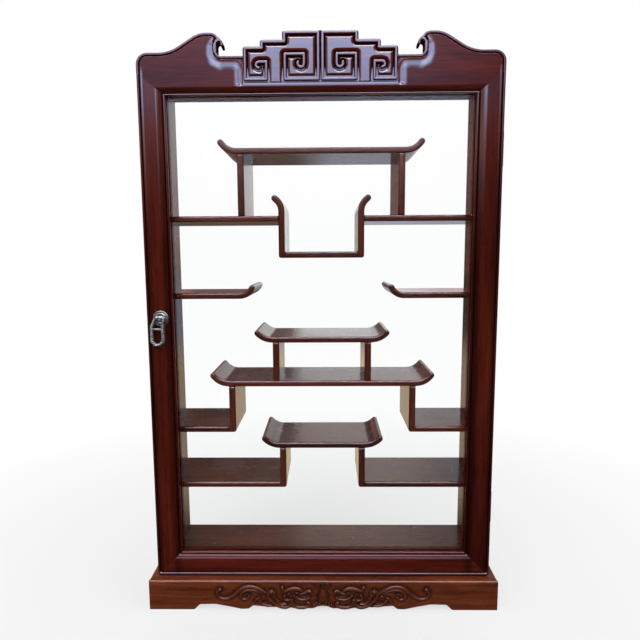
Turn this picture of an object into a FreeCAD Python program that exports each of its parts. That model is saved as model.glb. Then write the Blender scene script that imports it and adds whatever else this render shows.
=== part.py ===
import FreeCAD, Part
import math
import os

Vector = FreeCAD.Vector
os.makedirs("parts", exist_ok=True)

# Overhang of every cutting body past the faces that it cuts
overrun = 5.0

# Points closer together than this count as one
nearness = 0.0001

# Plinth
base_height = 50.0
base_overhang_front = 13.0
base_overhang_side = 13.0
base_board_thickness = 18.0
base_edge_round = 3.0
base_top_thickness = 8.0
relief_share = 0.06

# Door frame
door_half_width = 275.0
door_thickness = 20.0
door_sill_gap = 2.0
door_back_gap = 2.6
stile_width = 41.5
bottom_rail_height = 39.7
opening_height = 727.7
crest_side_share = 0.11491
crest_share = 0.32582

# Mouldings of the door frame: depths are below the flat of the frame
sight_bead_radius = 1.9
sight_bead_depth = 4.8
quirk_width = 1.2
quirk_depth = 6.2
ovolo_depth = 5.2
ovolo_width = 12.0
ovolo_middle_width_share = 0.38
ovolo_middle_depth_share = 0.28
field_edge_round = 1.2
groove_depth = 3.5
groove_width = 1.6
outer_bead_width = 4.1
outer_bead_depth = 0.9
rebate_width = 7.0
rebate_depth = 8.0

# Key fret carved on the middle of the crest: its half width as a share of the door's, its shoulder
# and step as shares of its own half width, and its heights as shares of the crest's
fret_half_share = 0.41782
fret_shoulder_share = 0.22106
fret_step_share = 0.28808
fret_bottom_share = 0.19866
fret_low_drop_share = 0.24107
fret_mid_drop_share = 0.13839
fret_corner_round = 3.5
fret_rib_width = 6.0
fret_rib_height = 2.0
fret_rib_round = 1.6
fret_floor_depth = 0.8
fret_eye_radius = 4.2
foot_cove_radius = 12.0
foot_cove_depth = 1.0
scoop_radius = 8.0
scoop_depth = 2.2
scoop_bend = 9.0

# Crest outline outside the fret: x as a share of the door's half width, z as a share of the crest's
# height above the opening, and corner radius as a share of the same height
crest_outline_shares = (
    (0.5600, 0.620, 0.075),
    (0.5600, 0.846, 0.045),
    (0.5400, 0.846, 0.016),
    (0.5380, 0.775, 0.017),
    (0.5230, 0.775, 0.017),
    (0.5275, 0.854, 0.090),
    (0.5700, 0.988, 0.180),
    (0.6564, 0.988, 0.440),
    (0.8178, 0.683, 0.660),
    (1.0000, 0.683, 0.190),
)
crest_ledge_share = 0.620
scoop_wall_share = 0.590
scoop_top_share = 0.780

# Turns of the fret's two spirals: x as a share of the fret's half width, z as a share of the
# crest's height
outer_eye_shares = (0.800, 0.475)
outer_turn_shares = (0.694, 0.503)
inner_turn_shares = (0.456, 0.620)
inner_drop_shares = (0.205, 0.468)
inner_eye_shares = (0.229, 0.458)

# Glass and the strips that hold it
door_glass_thickness = 3.0
door_glass_clearance = 1.0
door_strip_width = 8.0
door_strip_height = 8.0

# Case
case_side_setback = 1.5
case_rise_above_mitre = 13.5
case_depth = 127.6
case_side_thickness = 18.0
case_top_thickness = 18.0
case_floor_thickness = 15.4
case_edge_round = 1.5
back_rebate_width = 9.0
back_strip_width = 5.5
back_strip_depth = 8.0
back_glass_thickness = 4.0
back_glass_clearance = 1.0

# Shelves
shelf_setback = 5.4
shelf_thickness = 9.6
shelf_edge_round = 3.0
shelf_back_clearance = 0.3
upright_thickness = 10.8
upright_foot_round = 4.0
trough_board_thickness = 10.0
trough_curl_start = 6.8
trough_curl_radius = 25.0
trough_curl_angle = 55.0
ledge_curl_radius = 22.0
ledge_curl_angle = 65.0
high_curl_radius = 31.0
high_curl_angle = 55.0
small_curl_radius = 34.3
small_curl_angle = 46.5

# Heights of the shelves' top faces, as shares of the inside of the case
crown_shelf_share = 0.87390
wing_shelf_share = 0.73973
trough_share = 0.66714
ledge_share = 0.58290
bridge_shelf_share = 0.49072
wide_shelf_share = 0.39739
side_shelf_share = 0.29804
low_shelf_share = 0.26271
bottom_shelf_share = 0.17514

# Outer faces of the uprights and ends of the ledges, as shares of the inside of the case from its
# middle to its side
crown_upright_share = 0.51742
trough_outer_share = 0.26732
ledge_end_share = 0.51859
bridge_upright_share = 0.31468
wide_upright_share = 0.60274
low_upright_share = 0.27867

# Hinges
hinge_height = 50.0
hinge_leaf_width = 13.0
hinge_leaf_thickness = 1.2
knuckle_radius = 3.0
knuckle_reach = 3.3
knuckle_gap = 0.3
hinge_pin_radius = 1.5
hinge_pin_clearance = 0.05
hinge_pin_head = 1.0
hinge_from_door_end = 110.0
hinge_screw_count = 3
hinge_screw_pitch = 17.0
screw_head_radius = 2.2
screw_head_depth = 0.8
screw_radius = 1.2
screw_length = 9.0
screw_clearance = 0.1

# Ring pull
pull_from_opening = 19.0
pull_height_share = 0.53772
plate_radius = 12.5
plate_rim_height = 1.2
plate_ring_radius = 8.6
plate_ring_height = 2.0
plate_dish_radius = 6.6
plate_dish_height = 1.4
post_shank_radius = 2.0
post_shank_length = 10.0
post_shank_clearance = 0.1
post_head_radius = 3.2
post_head_height = 8.2
post_head_round = 1.0
pull_axis_height = 5.6
pull_axle_radius = 1.4
pull_axle_clearance = 0.3
pull_wire_radius = 3.0
pull_neck_half_width = 6.5
pull_half_width = 8.6
pull_neck_drop = 13.0
pull_side_drop = 33.0
pull_neck_round = 8.0
pull_lean = 4.0
pull_bar_drop = 16.5
pull_bar_radius = 2.4

# Sizes and places that follow from the sizes above
relief_height = relief_share * base_height
crest_side_height = crest_side_share * door_half_width
crest_height = crest_share * door_half_width
fret_bottom_rise = fret_bottom_share * crest_height
fret_low_top_drop = fret_low_drop_share * crest_height
fret_mid_top_drop = fret_mid_drop_share * crest_height
overall_depth = (relief_height + base_overhang_front + door_thickness + door_back_gap
                 + case_depth)
y_back = overall_depth / 2
y_case_front = y_back - case_depth
y_door_back = y_case_front - door_back_gap
y_door_front = y_door_back - door_thickness
y_base_front = y_door_front - base_overhang_front
y_glass_back = y_back - back_strip_depth
y_glass_front = y_glass_back - back_glass_thickness
y_shelf_front = y_case_front + shelf_setback
y_shelf_back = y_glass_front - shelf_back_clearance
z_door_bottom = base_height + door_sill_gap
z_opening_bottom = z_door_bottom + bottom_rail_height
z_opening_top = z_opening_bottom + opening_height
z_mitre_top = z_opening_top + crest_side_height
z_top = z_opening_top + crest_height
opening_half = door_half_width - stile_width
case_half_width = door_half_width - case_side_setback
base_half_width = case_half_width + base_overhang_side
inner_half = case_half_width - case_side_thickness
z_floor_top = base_height + case_floor_thickness
z_case_top = z_mitre_top + case_rise_above_mitre
z_case_inside_top = z_case_top - case_top_thickness
case_inside_height = z_case_inside_top - z_floor_top
fret_half_width = fret_half_share * door_half_width
fret_shoulder_width = fret_shoulder_share * fret_half_width
fret_step_width = fret_step_share * fret_half_width
crown_shelf_z = z_floor_top + crown_shelf_share * case_inside_height
wing_shelf_z = z_floor_top + wing_shelf_share * case_inside_height
trough_z = z_floor_top + trough_share * case_inside_height
ledge_z = z_floor_top + ledge_share * case_inside_height
bridge_shelf_z = z_floor_top + bridge_shelf_share * case_inside_height
wide_shelf_z = z_floor_top + wide_shelf_share * case_inside_height
side_shelf_z = z_floor_top + side_shelf_share * case_inside_height
low_shelf_z = z_floor_top + low_shelf_share * case_inside_height
bottom_shelf_z = z_floor_top + bottom_shelf_share * case_inside_height
crown_upright_outer = crown_upright_share * inner_half
trough_outer = trough_outer_share * inner_half
ledge_straight_end = ledge_end_share * inner_half
bridge_upright_outer = bridge_upright_share * inner_half
wide_upright_outer = wide_upright_share * inner_half
low_upright_outer = low_upright_share * inner_half
pull_x = -(opening_half + pull_from_opening)
pull_z = z_opening_bottom + pull_height_share * opening_height

nodes = {}


def box(x0, x1, y0, y1, z0, z1):
    """Box between two corners."""
    return Part.makeBox(x1 - x0, y1 - y0, z1 - z0, Vector(x0, y0, z0))


def mirrored(shape):
    """The same shape on the other side of the cabinet's middle."""
    return shape.mirror(Vector(0, 0, 0), Vector(1, 0, 0))


def rounded_edges(corners, closed):
    """Straight runs through corners (point, radius), joined by tangent arcs."""
    count = len(corners)
    edges = []
    last = None
    first = None
    span = range(count) if closed else range(1, count - 1)
    if not closed:
        last = corners[0][0]
    for i in span:
        point, radius = corners[i]
        before = corners[i - 1][0]
        after = corners[(i + 1) % count][0]
        way_in = (before - point).normalize()
        way_out = (after - point).normalize()
        half_turn = (math.pi - way_in.getAngle(way_out)) / 2
        reach = radius * math.tan(half_turn)
        start = point + way_in * reach
        end = point + way_out * reach
        if last is None:
            first = start
        elif last.distanceToPoint(start) > nearness:
            edges.append(Part.makeLine(last, start))
        if radius > 0:
            inward = (way_in + way_out).normalize()
            middle = point + inward * (radius / math.cos(half_turn) - radius)
            edges.append(Part.Arc(start, middle, end).toShape())
        last = end
    finish = first if closed else corners[-1][0]
    if last.distanceToPoint(finish) > nearness:
        edges.append(Part.makeLine(last, finish))
    return edges


def outline_face(points, y):
    """Face in the plane of the door through points (x, z, corner radius)."""
    corners = [(Vector(x, y, z), radius) for x, z, radius in points]
    return Part.Face(Part.Wire(rounded_edges(corners, True)))


def with_mirror(half):
    """Points of one half, from the middle outwards, and the same for the other half."""
    return [(-x, z, r) for x, z, r in reversed(half)] + list(half)


def slab(face, y0, y1):
    """Solid between two depths, from a face drawn at depth zero."""
    solid = face.extrude(Vector(0, y1 - y0, 0))
    solid.translate(Vector(0, y0, 0))
    return solid


def edges_at_front(shape, y):
    """Edges that lie wholly in the plane at depth y."""
    return [e for e in shape.Edges
            if abs(e.BoundBox.YMin - y) < nearness and abs(e.BoundBox.YMax - y) < nearness]


def round_front(shape, y, radius):
    """The shape with its front outline rounded."""
    return shape.makeFillet(radius, edges_at_front(shape, y))


# Door frame


def moulding_points(scale):
    """Inner moulding as runs of points (distance from the opening, depth), a pair for a line and
    three points for an arc."""
    bead_end = 2 * sight_bead_radius * scale
    quirk_end = bead_end + quirk_width * scale
    field_start = quirk_end + ovolo_width * scale
    bead_top = sight_bead_depth - sight_bead_radius
    middle = (quirk_end + ovolo_middle_width_share * ovolo_width * scale,
              ovolo_middle_depth_share * ovolo_depth)
    return [
        ((0, rebate_depth), (0, sight_bead_depth)),
        ((0, sight_bead_depth), (bead_end / 2, bead_top), (bead_end, sight_bead_depth)),
        ((bead_end, sight_bead_depth), (bead_end, quirk_depth)),
        ((bead_end, quirk_depth), (quirk_end, quirk_depth)),
        ((quirk_end, quirk_depth), (quirk_end, ovolo_depth)),
        ((quirk_end, ovolo_depth), middle, (field_start, 0)),
    ]


def outer_points(width):
    """Outer edge of the section: field edge, groove and bead, out to the frame's side."""
    bead_start = width - outer_bead_width
    groove_start = bead_start - groove_width
    field_end = groove_start - field_edge_round
    round_in = field_edge_round * (1 - math.sqrt(0.5))
    bead_foot = outer_bead_depth + outer_bead_width / 2
    return [
        ((field_end, 0), (groove_start - round_in, round_in), (groove_start, field_edge_round)),
        ((groove_start, field_edge_round), (groove_start, groove_depth)),
        ((groove_start, groove_depth), (bead_start, groove_depth)),
        ((bead_start, groove_depth), (bead_start, bead_foot)),
        ((bead_start, bead_foot), (bead_start + outer_bead_width / 2, outer_bead_depth),
         (width, bead_foot)),
        ((width, bead_foot), (width, door_thickness)),
        ((width, door_thickness), (rebate_width, door_thickness)),
        ((rebate_width, door_thickness), (rebate_width, rebate_depth)),
        ((rebate_width, rebate_depth), (0, rebate_depth)),
    ]


def section_edges(runs, place):
    """Lines and arcs through runs of (distance, depth), placed in space by a function."""
    edges = []
    for run in runs:
        points = [place(distance, depth) for distance, depth in run]
        if len(points) == 2:
            edges.append(Part.makeLine(points[0], points[1]))
        else:
            edges.append(Part.Arc(points[0], points[1], points[2]).toShape())
    return edges


def frame_section(scale, width, place):
    """Closed section of a frame member of the given width."""
    inner = moulding_points(scale)
    outer = outer_points(width)
    joining = [(inner[-1][-1], outer[0][0])]
    return Part.Face(Part.Wire(section_edges(inner + joining + outer, place)))


def mitred(shape, corners):
    """The part of a frame member inside its mitre lines."""
    region = outline_face([(x, z, 0) for x, z in corners], 0)
    return shape.common(slab(region, y_door_front - overrun, y_door_back + overrun))


def door_stile():
    """Right stile, with both mitres."""
    face = frame_section(1.0, stile_width,
                         lambda d, y: Vector(opening_half + d, y_door_front + y, z_door_bottom))
    bar = face.extrude(Vector(0, 0, z_mitre_top - z_door_bottom))
    return mitred(bar, [(opening_half, z_opening_bottom), (door_half_width, z_door_bottom),
                        (door_half_width, z_mitre_top), (opening_half, z_opening_top)])


def door_bottom_rail():
    """Bottom rail, mitred into both stiles."""
    scale = bottom_rail_height / stile_width
    face = frame_section(
        scale, bottom_rail_height,
        lambda d, y: Vector(-door_half_width, y_door_front + y, z_opening_bottom - d))
    bar = face.extrude(Vector(2 * door_half_width, 0, 0))
    return mitred(bar, [(-opening_half, z_opening_bottom), (opening_half, z_opening_bottom),
                        (door_half_width, z_door_bottom), (-door_half_width, z_door_bottom)])


def fret_steps():
    """Stepped outline of the fret block, from the middle to its lower side."""
    low_top = z_top - fret_low_top_drop
    mid_top = z_top - fret_mid_top_drop
    mid_half = fret_half_width - fret_shoulder_width
    top_half = mid_half - fret_step_width
    return [
        (top_half, z_top, fret_corner_round),
        (top_half, mid_top, fret_corner_round / 2),
        (mid_half, mid_top, fret_corner_round),
        (mid_half, low_top, fret_corner_round / 2),
        (fret_half_width, low_top, fret_corner_round),
    ]


def crest_outline():
    """Upper outline of the crest on one side, from the middle of the door outwards."""
    points = fret_steps()
    points.append((fret_half_width, z_opening_top + crest_ledge_share * crest_height, 0))
    for x_share, z_share, radius_share in crest_outline_shares:
        points.append((x_share * door_half_width, z_opening_top + z_share * crest_height,
                       radius_share * crest_height))
    return points


def fret_face():
    """Outline of the whole fret block."""
    foot = [(fret_half_width, z_opening_top + fret_bottom_rise, fret_corner_round)]
    return outline_face(with_mirror(fret_steps() + foot), 0)


def fret_spot(shares):
    """Place on the fret given as shares."""
    return shares[0] * fret_half_width, z_opening_top + shares[1] * crest_height


def fret_rib_path():
    """Corners of the raised rib on one side, from the outer spiral's eye to the inner one's."""
    inset = fret_rib_width / 2
    foot = z_opening_top + fret_bottom_rise + inset
    outer = fret_half_width - inset
    mid_half = outer - fret_shoulder_width
    top_half = mid_half - fret_step_width
    eye_x, eye_z = fret_spot(outer_eye_shares)
    outer_x, outer_z = fret_spot(outer_turn_shares)
    inner_x, inner_z = fret_spot(inner_turn_shares)
    drop_x, drop_z = fret_spot(inner_drop_shares)
    low_top = z_top - fret_low_top_drop - inset
    mid_top = z_top - fret_mid_top_drop - inset
    return [
        (eye_x, outer_z),
        (outer_x, outer_z),
        (outer_x, foot),
        (outer, foot),
        (outer, low_top),
        (mid_half, low_top),
        (mid_half, mid_top),
        (top_half, mid_top),
        (top_half, z_top - inset),
        (inset, z_top - inset),
        (inset, foot),
        (inner_x, foot),
        (inner_x, inner_z),
        (drop_x, inner_z),
        (drop_x, drop_z),
    ]


def fret_ribs():
    """The raised rib on one side as one solid, with a round eye in each spiral."""
    path = fret_rib_path()
    reach = fret_rib_width / 2
    front = y_door_front - fret_rib_height
    back = y_door_front + groove_depth
    solids = []
    for (xa, za), (xb, zb) in zip(path[:-1], path[1:]):
        solids.append(box(min(xa, xb) - reach, max(xa, xb) + reach, front, back,
                          min(za, zb) - reach, max(za, zb) + reach))
    for shares in (outer_eye_shares, inner_eye_shares):
        x, z = fret_spot(shares)
        solids.append(Part.makeCylinder(fret_eye_radius, back - front, Vector(x, front, z),
                                        Vector(0, 1, 0)))
    ribs = solids[0].multiFuse(solids[1:]).removeSplitter()
    ribs = ribs.common(slab(fret_face(), front - overrun, back + overrun))
    return round_front(ribs, front, fret_rib_round)


def scoops():
    """Hollows worked into the flat of the crest: one below the fret, and one on each side that
    runs up beside the fret, along under the ledge and up into the hook."""
    foot = z_opening_top + fret_bottom_rise
    low_axis = y_door_front + foot_cove_depth - foot_cove_radius
    hollows = [Part.makeCylinder(foot_cove_radius, 2 * fret_half_width,
                                 Vector(-fret_half_width, low_axis, foot), Vector(1, 0, 0))]
    axis_y = y_door_front + scoop_depth - scoop_radius
    half_width = math.sqrt(scoop_radius ** 2 - (scoop_radius - scoop_depth) ** 2)
    near = fret_half_width + half_width
    edge = outer_bead_width + groove_width
    under = z_opening_top + crest_ledge_share * crest_height - edge - half_width
    far = scoop_wall_share * door_half_width
    top = z_opening_top + scoop_top_share * crest_height
    corners = [
        (Vector(near, axis_y, foot), 0),
        (Vector(near, axis_y, under), scoop_bend),
        (Vector(far, axis_y, under), scoop_bend + half_width),
        (Vector(far, axis_y, top), 0),
    ]
    path = Part.Wire(rounded_edges(corners, False))
    ring = Part.Wire(Part.makeCircle(scoop_radius, corners[0][0], Vector(0, 0, 1)))
    scoop = path.makePipeShell([ring], True, False)
    ends = [Part.makeSphere(scoop_radius, corners[i][0]) for i in (0, -1)]
    for piece in [scoop] + ends:
        hollows += [piece, mirrored(piece)]
    return hollows


def door_crest():
    """Top rail of the door with its crest, edge bead, moulding and raised fret."""
    low = z_opening_top - bottom_rail_height
    outline = outline_face(with_mirror(crest_outline() + [(door_half_width, low, 0)]), 0)
    inside_bead = outline.makeOffset2D(-outer_bead_width)
    ease = 2 * field_edge_round
    field = outline.makeOffset2D(-outer_bead_width - groove_width - ease).makeOffset2D(ease)
    fret = fret_face()
    front = y_door_front
    bead_front = front + outer_bead_depth
    bead = slab(outline.cut(inside_bead), bead_front, front + groove_depth)
    bead = round_front(bead, bead_front, outer_bead_width / 2 - groove_width / 2)
    raised = round_front(slab(field, front, front + groove_depth), front, field_edge_round)
    keep_out = slab(fret, front - overrun, front + groove_depth)
    raised = raised.cut([keep_out] + scoops())
    bead = bead.cut(keep_out)
    body = slab(outline, front + groove_depth, y_door_back)
    floor = slab(fret, front + fret_floor_depth, front + groove_depth)
    ribs = fret_ribs()
    crest = body.multiFuse([bead, raised, floor, ribs, mirrored(ribs)])
    scale = crest_side_height / stile_width
    cutter_runs = moulding_points(scale)
    far = cutter_runs[-1][-1][0]
    cutter_runs += [((far, 0), (far, -overrun)), ((far, -overrun), (-overrun, -overrun)),
                    ((-overrun, -overrun), (-overrun, rebate_depth)),
                    ((-overrun, rebate_depth), (0, rebate_depth))]
    cutter = Part.Face(Part.Wire(section_edges(
        cutter_runs,
        lambda d, y: Vector(-door_half_width - overrun, front + y, z_opening_top + d))))
    crest = crest.cut(cutter.extrude(Vector(2 * door_half_width + 2 * overrun, 0, 0)))
    rebate_half = opening_half + rebate_width
    crest = crest.cut(box(-rebate_half, rebate_half, front + rebate_depth,
                          y_door_back + overrun, low, z_opening_top + rebate_width))
    high = z_top + overrun
    return mitred(crest, [(-opening_half, z_opening_top), (opening_half, z_opening_top),
                          (door_half_width, z_mitre_top), (door_half_width, high),
                          (-door_half_width, high), (-door_half_width, z_mitre_top)])


def make_door():
    """Frame, glass and the strips behind it."""
    stile = door_stile()
    reach = rebate_width - door_glass_clearance
    glass_front = y_door_front + rebate_depth
    glass_back = glass_front + door_glass_thickness
    nodes["door_glass"] = box(-opening_half - reach, opening_half + reach, glass_front, glass_back,
                              z_opening_bottom - reach, z_opening_top + reach)
    strip_back = glass_back + door_strip_height
    outer_x = opening_half + rebate_width
    inner_x = outer_x - door_strip_width
    low = z_opening_bottom - rebate_width
    high = z_opening_top + rebate_width
    nodes["door_strip_bottom"] = box(-outer_x, outer_x, glass_back, strip_back,
                                     low, low + door_strip_width)
    nodes["door_strip_top"] = box(-outer_x, outer_x, glass_back, strip_back,
                                  high - door_strip_width, high)
    side = box(inner_x, outer_x, glass_back, strip_back,
               low + door_strip_width, high - door_strip_width)
    nodes["door_strip_right"] = side
    nodes["door_strip_left"] = mirrored(side)
    nodes["door_stile_right"] = stile
    nodes["door_stile_left"] = mirrored(stile)
    nodes["door_bottom_rail"] = door_bottom_rail()
    nodes["door_crest_rail"] = door_crest()


# Case


def make_case():
    """Sides, top, floor, the glass back and the strips that hold it."""
    z_base = base_height
    side = box(inner_half, case_half_width, y_case_front, y_back, z_base, z_case_inside_top)
    top = box(-case_half_width, case_half_width, y_case_front, y_back,
              z_case_inside_top, z_case_top)
    floor = box(-inner_half, inner_half, y_case_front, y_back, z_base, z_floor_top)
    rebate_half = inner_half + back_rebate_width
    rebate_low = z_floor_top - back_rebate_width
    rebate_high = z_case_inside_top + back_rebate_width
    rebate = box(-rebate_half, rebate_half, y_glass_front, y_back + overrun,
                 rebate_low, rebate_high)
    nodes["case_side_right"] = side.cut(rebate)
    nodes["case_side_left"] = mirrored(nodes["case_side_right"])
    outer = [e for e in top.Edges if e.BoundBox.ZMin > z_case_inside_top + case_edge_round
             and e.BoundBox.YMin < y_back - case_edge_round]
    nodes["case_top"] = top.makeFillet(case_edge_round, outer).cut(rebate)
    nodes["case_floor"] = floor.cut(rebate)
    glass_half = rebate_half - back_glass_clearance
    nodes["back_glass"] = box(-glass_half, glass_half, y_glass_front, y_glass_back,
                              rebate_low + back_glass_clearance,
                              rebate_high - back_glass_clearance)
    strip_half = rebate_half - back_strip_width
    strip_low = rebate_low + back_strip_width
    strip_high = rebate_high - back_strip_width
    nodes["back_strip_bottom"] = box(-rebate_half, rebate_half, y_glass_back, y_back,
                                     rebate_low, strip_low)
    nodes["back_strip_top"] = box(-rebate_half, rebate_half, y_glass_back, y_back,
                                  strip_high, rebate_high)
    strip = box(strip_half, rebate_half, y_glass_back, y_back, strip_low, strip_high)
    nodes["back_strip_right"] = strip
    nodes["back_strip_left"] = mirrored(strip)


# Shelves


def board(x0, x1, z0, z1):
    """Plain board with its front edges rounded."""
    return round_front(box(x0, x1, y_shelf_front, y_shelf_back, z0, z1), y_shelf_front,
                       shelf_edge_round)


def curled_end(start, middle_z, radius, angle, thickness):
    """Runs of the outline of an end that curls up from a level board: under side, round tip and
    upper side, going outwards from x = start."""
    turn = math.radians(angle)
    half = thickness / 2
    centre = (start, middle_z + radius)

    def at(swing, arm):
        return (centre[0] + arm * math.sin(swing), centre[1] - arm * math.cos(swing))

    tip = at(turn, radius)
    nose = (tip[0] + half * math.cos(turn), tip[1] + half * math.sin(turn))
    outer, inner = radius + half, radius - half
    return [
        (at(0, outer), at(turn / 2, outer), at(turn, outer)),
        (at(turn, outer), nose, at(turn, inner)),
        (at(turn, inner), at(turn / 2, inner), at(0, inner)),
    ]


def profile_board(runs, place):
    """Board with a shaped outline, running from the shelf front to the shelf back."""
    face = Part.Face(Part.Wire(section_edges(runs, place)))
    solid = face.extrude(Vector(0, y_shelf_back - y_shelf_front, 0))
    return round_front(solid, y_shelf_front, shelf_edge_round)


def curled_shelf(top_z, straight_half, radius, angle):
    """Shelf with both ends curled up."""
    middle = top_z - shelf_thickness / 2
    right = curled_end(straight_half, middle, radius, angle, shelf_thickness)
    left = [tuple((-x, z) for x, z in reversed(run)) for run in reversed(right)]
    runs = ([(left[-1][-1], right[0][0])] + right + [(right[-1][-1], left[0][0])] + left)
    return profile_board(runs, lambda x, z: Vector(x, y_shelf_front, z))


def uprights(name, outer, z0, z1, round_foot):
    """A pair of uprights; those that end in the open have the corner to the middle rounded."""
    post = box(outer - upright_thickness, outer, y_shelf_front, y_shelf_back, z0, z1)
    if round_foot:
        inner_x = outer - upright_thickness
        foot = [e for e in post.Edges if e.BoundBox.ZMax < z0 + upright_foot_round
                and e.BoundBox.XMax < inner_x + upright_foot_round]
        post = post.makeFillet(upright_foot_round, foot)
    post = round_front(post, y_shelf_front, shelf_edge_round)
    nodes[name + "_upright_right"] = post
    nodes[name + "_upright_left"] = mirrored(post)


def side_boards(name, top_z, inner_x):
    """A pair of boards from the case sides to something nearer the middle."""
    shelf = board(inner_x, inner_half, top_z - shelf_thickness, top_z)
    nodes[name + "_right"] = shelf
    nodes[name + "_left"] = mirrored(shelf)


def make_trough():
    """Hanging trough: a bottom board between two sides whose tops curl outwards."""
    bottom = trough_z - trough_board_thickness
    half = trough_board_thickness / 2
    middle = trough_outer - half
    bend = wing_shelf_z + trough_curl_start
    turn = math.radians(trough_curl_angle)
    centre_x = middle + trough_curl_radius

    def at(swing, arm):
        return (centre_x - arm * math.cos(swing), bend + arm * math.sin(swing))

    tip = at(turn, trough_curl_radius)
    nose = (tip[0] + half * math.sin(turn), tip[1] + half * math.cos(turn))
    near, far = trough_curl_radius - half, trough_curl_radius + half
    runs = [
        ((trough_outer, bottom), at(0, near)),
        (at(0, near), at(turn / 2, near), at(turn, near)),
        (at(turn, near), nose, at(turn, far)),
        (at(turn, far), at(turn / 2, far), at(0, far)),
        (at(0, far), (trough_outer - trough_board_thickness, bottom)),
        ((trough_outer - trough_board_thickness, bottom), (trough_outer, bottom)),
    ]
    face = Part.Face(Part.Wire(section_edges(runs, lambda x, z: Vector(x, y_shelf_front, z))))
    side = face.extrude(Vector(0, y_shelf_back - y_shelf_front, 0))
    foot = [e for e in side.Edges if e.BoundBox.ZMax < bottom + half
            and e.BoundBox.XMin > trough_outer - half]
    side = side.makeFillet(upright_foot_round, foot)
    side = round_front(side, y_shelf_front, shelf_edge_round)
    nodes["trough_side_right"] = side
    nodes["trough_side_left"] = mirrored(side)
    inner = trough_outer - trough_board_thickness
    nodes["trough_bottom"] = board(-inner, inner, bottom, trough_z)


def make_ledges():
    """Two short ledges whose inner ends curl up."""
    middle = ledge_z - shelf_thickness / 2
    end = curled_end(-ledge_straight_end, middle, ledge_curl_radius, ledge_curl_angle,
                     shelf_thickness)
    top = ledge_z
    bottom = ledge_z - shelf_thickness
    runs = ([((-inner_half, bottom), end[0][0])] + end
            + [(end[-1][-1], (-inner_half, top)), ((-inner_half, top), (-inner_half, bottom))])
    left = profile_board(runs, lambda x, z: Vector(x, y_shelf_front, z))
    nodes["ledge_left"] = left
    nodes["ledge_right"] = mirrored(left)


def make_shelves():
    """Every board of the stepped display inside the case."""
    under = shelf_thickness
    nodes["crown_shelf"] = curled_shelf(crown_shelf_z, crown_upright_outer, high_curl_radius,
                                        high_curl_angle)
    uprights("crown", crown_upright_outer, wing_shelf_z, crown_shelf_z - under, False)
    side_boards("wing_shelf", wing_shelf_z, trough_outer)
    make_trough()
    make_ledges()
    nodes["bridge_shelf"] = curled_shelf(bridge_shelf_z, bridge_upright_outer, small_curl_radius,
                                         small_curl_angle)
    uprights("bridge", bridge_upright_outer, wide_shelf_z, bridge_shelf_z - under, False)
    nodes["wide_shelf"] = curled_shelf(wide_shelf_z, wide_upright_outer, high_curl_radius,
                                       high_curl_angle)
    uprights("wide", wide_upright_outer, side_shelf_z - under, wide_shelf_z - under, True)
    side_boards("side_shelf", side_shelf_z, wide_upright_outer)
    nodes["low_shelf"] = curled_shelf(low_shelf_z, low_upright_outer, small_curl_radius,
                                      small_curl_angle)
    uprights("low", low_upright_outer, bottom_shelf_z - under, low_shelf_z - under, True)
    side_boards("bottom_shelf", bottom_shelf_z, low_upright_outer)


# Plinth

# Lower edge of the apron on one side, from the middle outwards: x as a share of the plinth's half
# width, z and corner radius as shares of its height
apron_edge_shares = (
    (0.0000, 0.112, 0.000),
    (0.0262, 0.104, 0.100),
    (0.0524, 0.052, 0.120),
    (0.0838, 0.032, 0.200),
    (0.1326, 0.016, 0.280),
    (0.1623, 0.026, 0.120),
    (0.1815, 0.058, 0.020),
    (0.2007, 0.024, 0.100),
    (0.2339, 0.020, 0.200),
    (0.2670, 0.076, 0.100),
    (0.3211, 0.072, 0.400),
    (0.3665, 0.124, 0.240),
    (0.4031, 0.140, 0.060),
    (0.4276, 0.032, 0.080),
    (0.4677, 0.020, 0.400),
    (0.5236, 0.092, 1.200),
    (0.6178, 0.196, 0.600),
    (0.7086, 0.184, 0.060),
    (0.7417, 0.000, 0.030),
    (1.0000, 0.000, 0.000),
)

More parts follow.
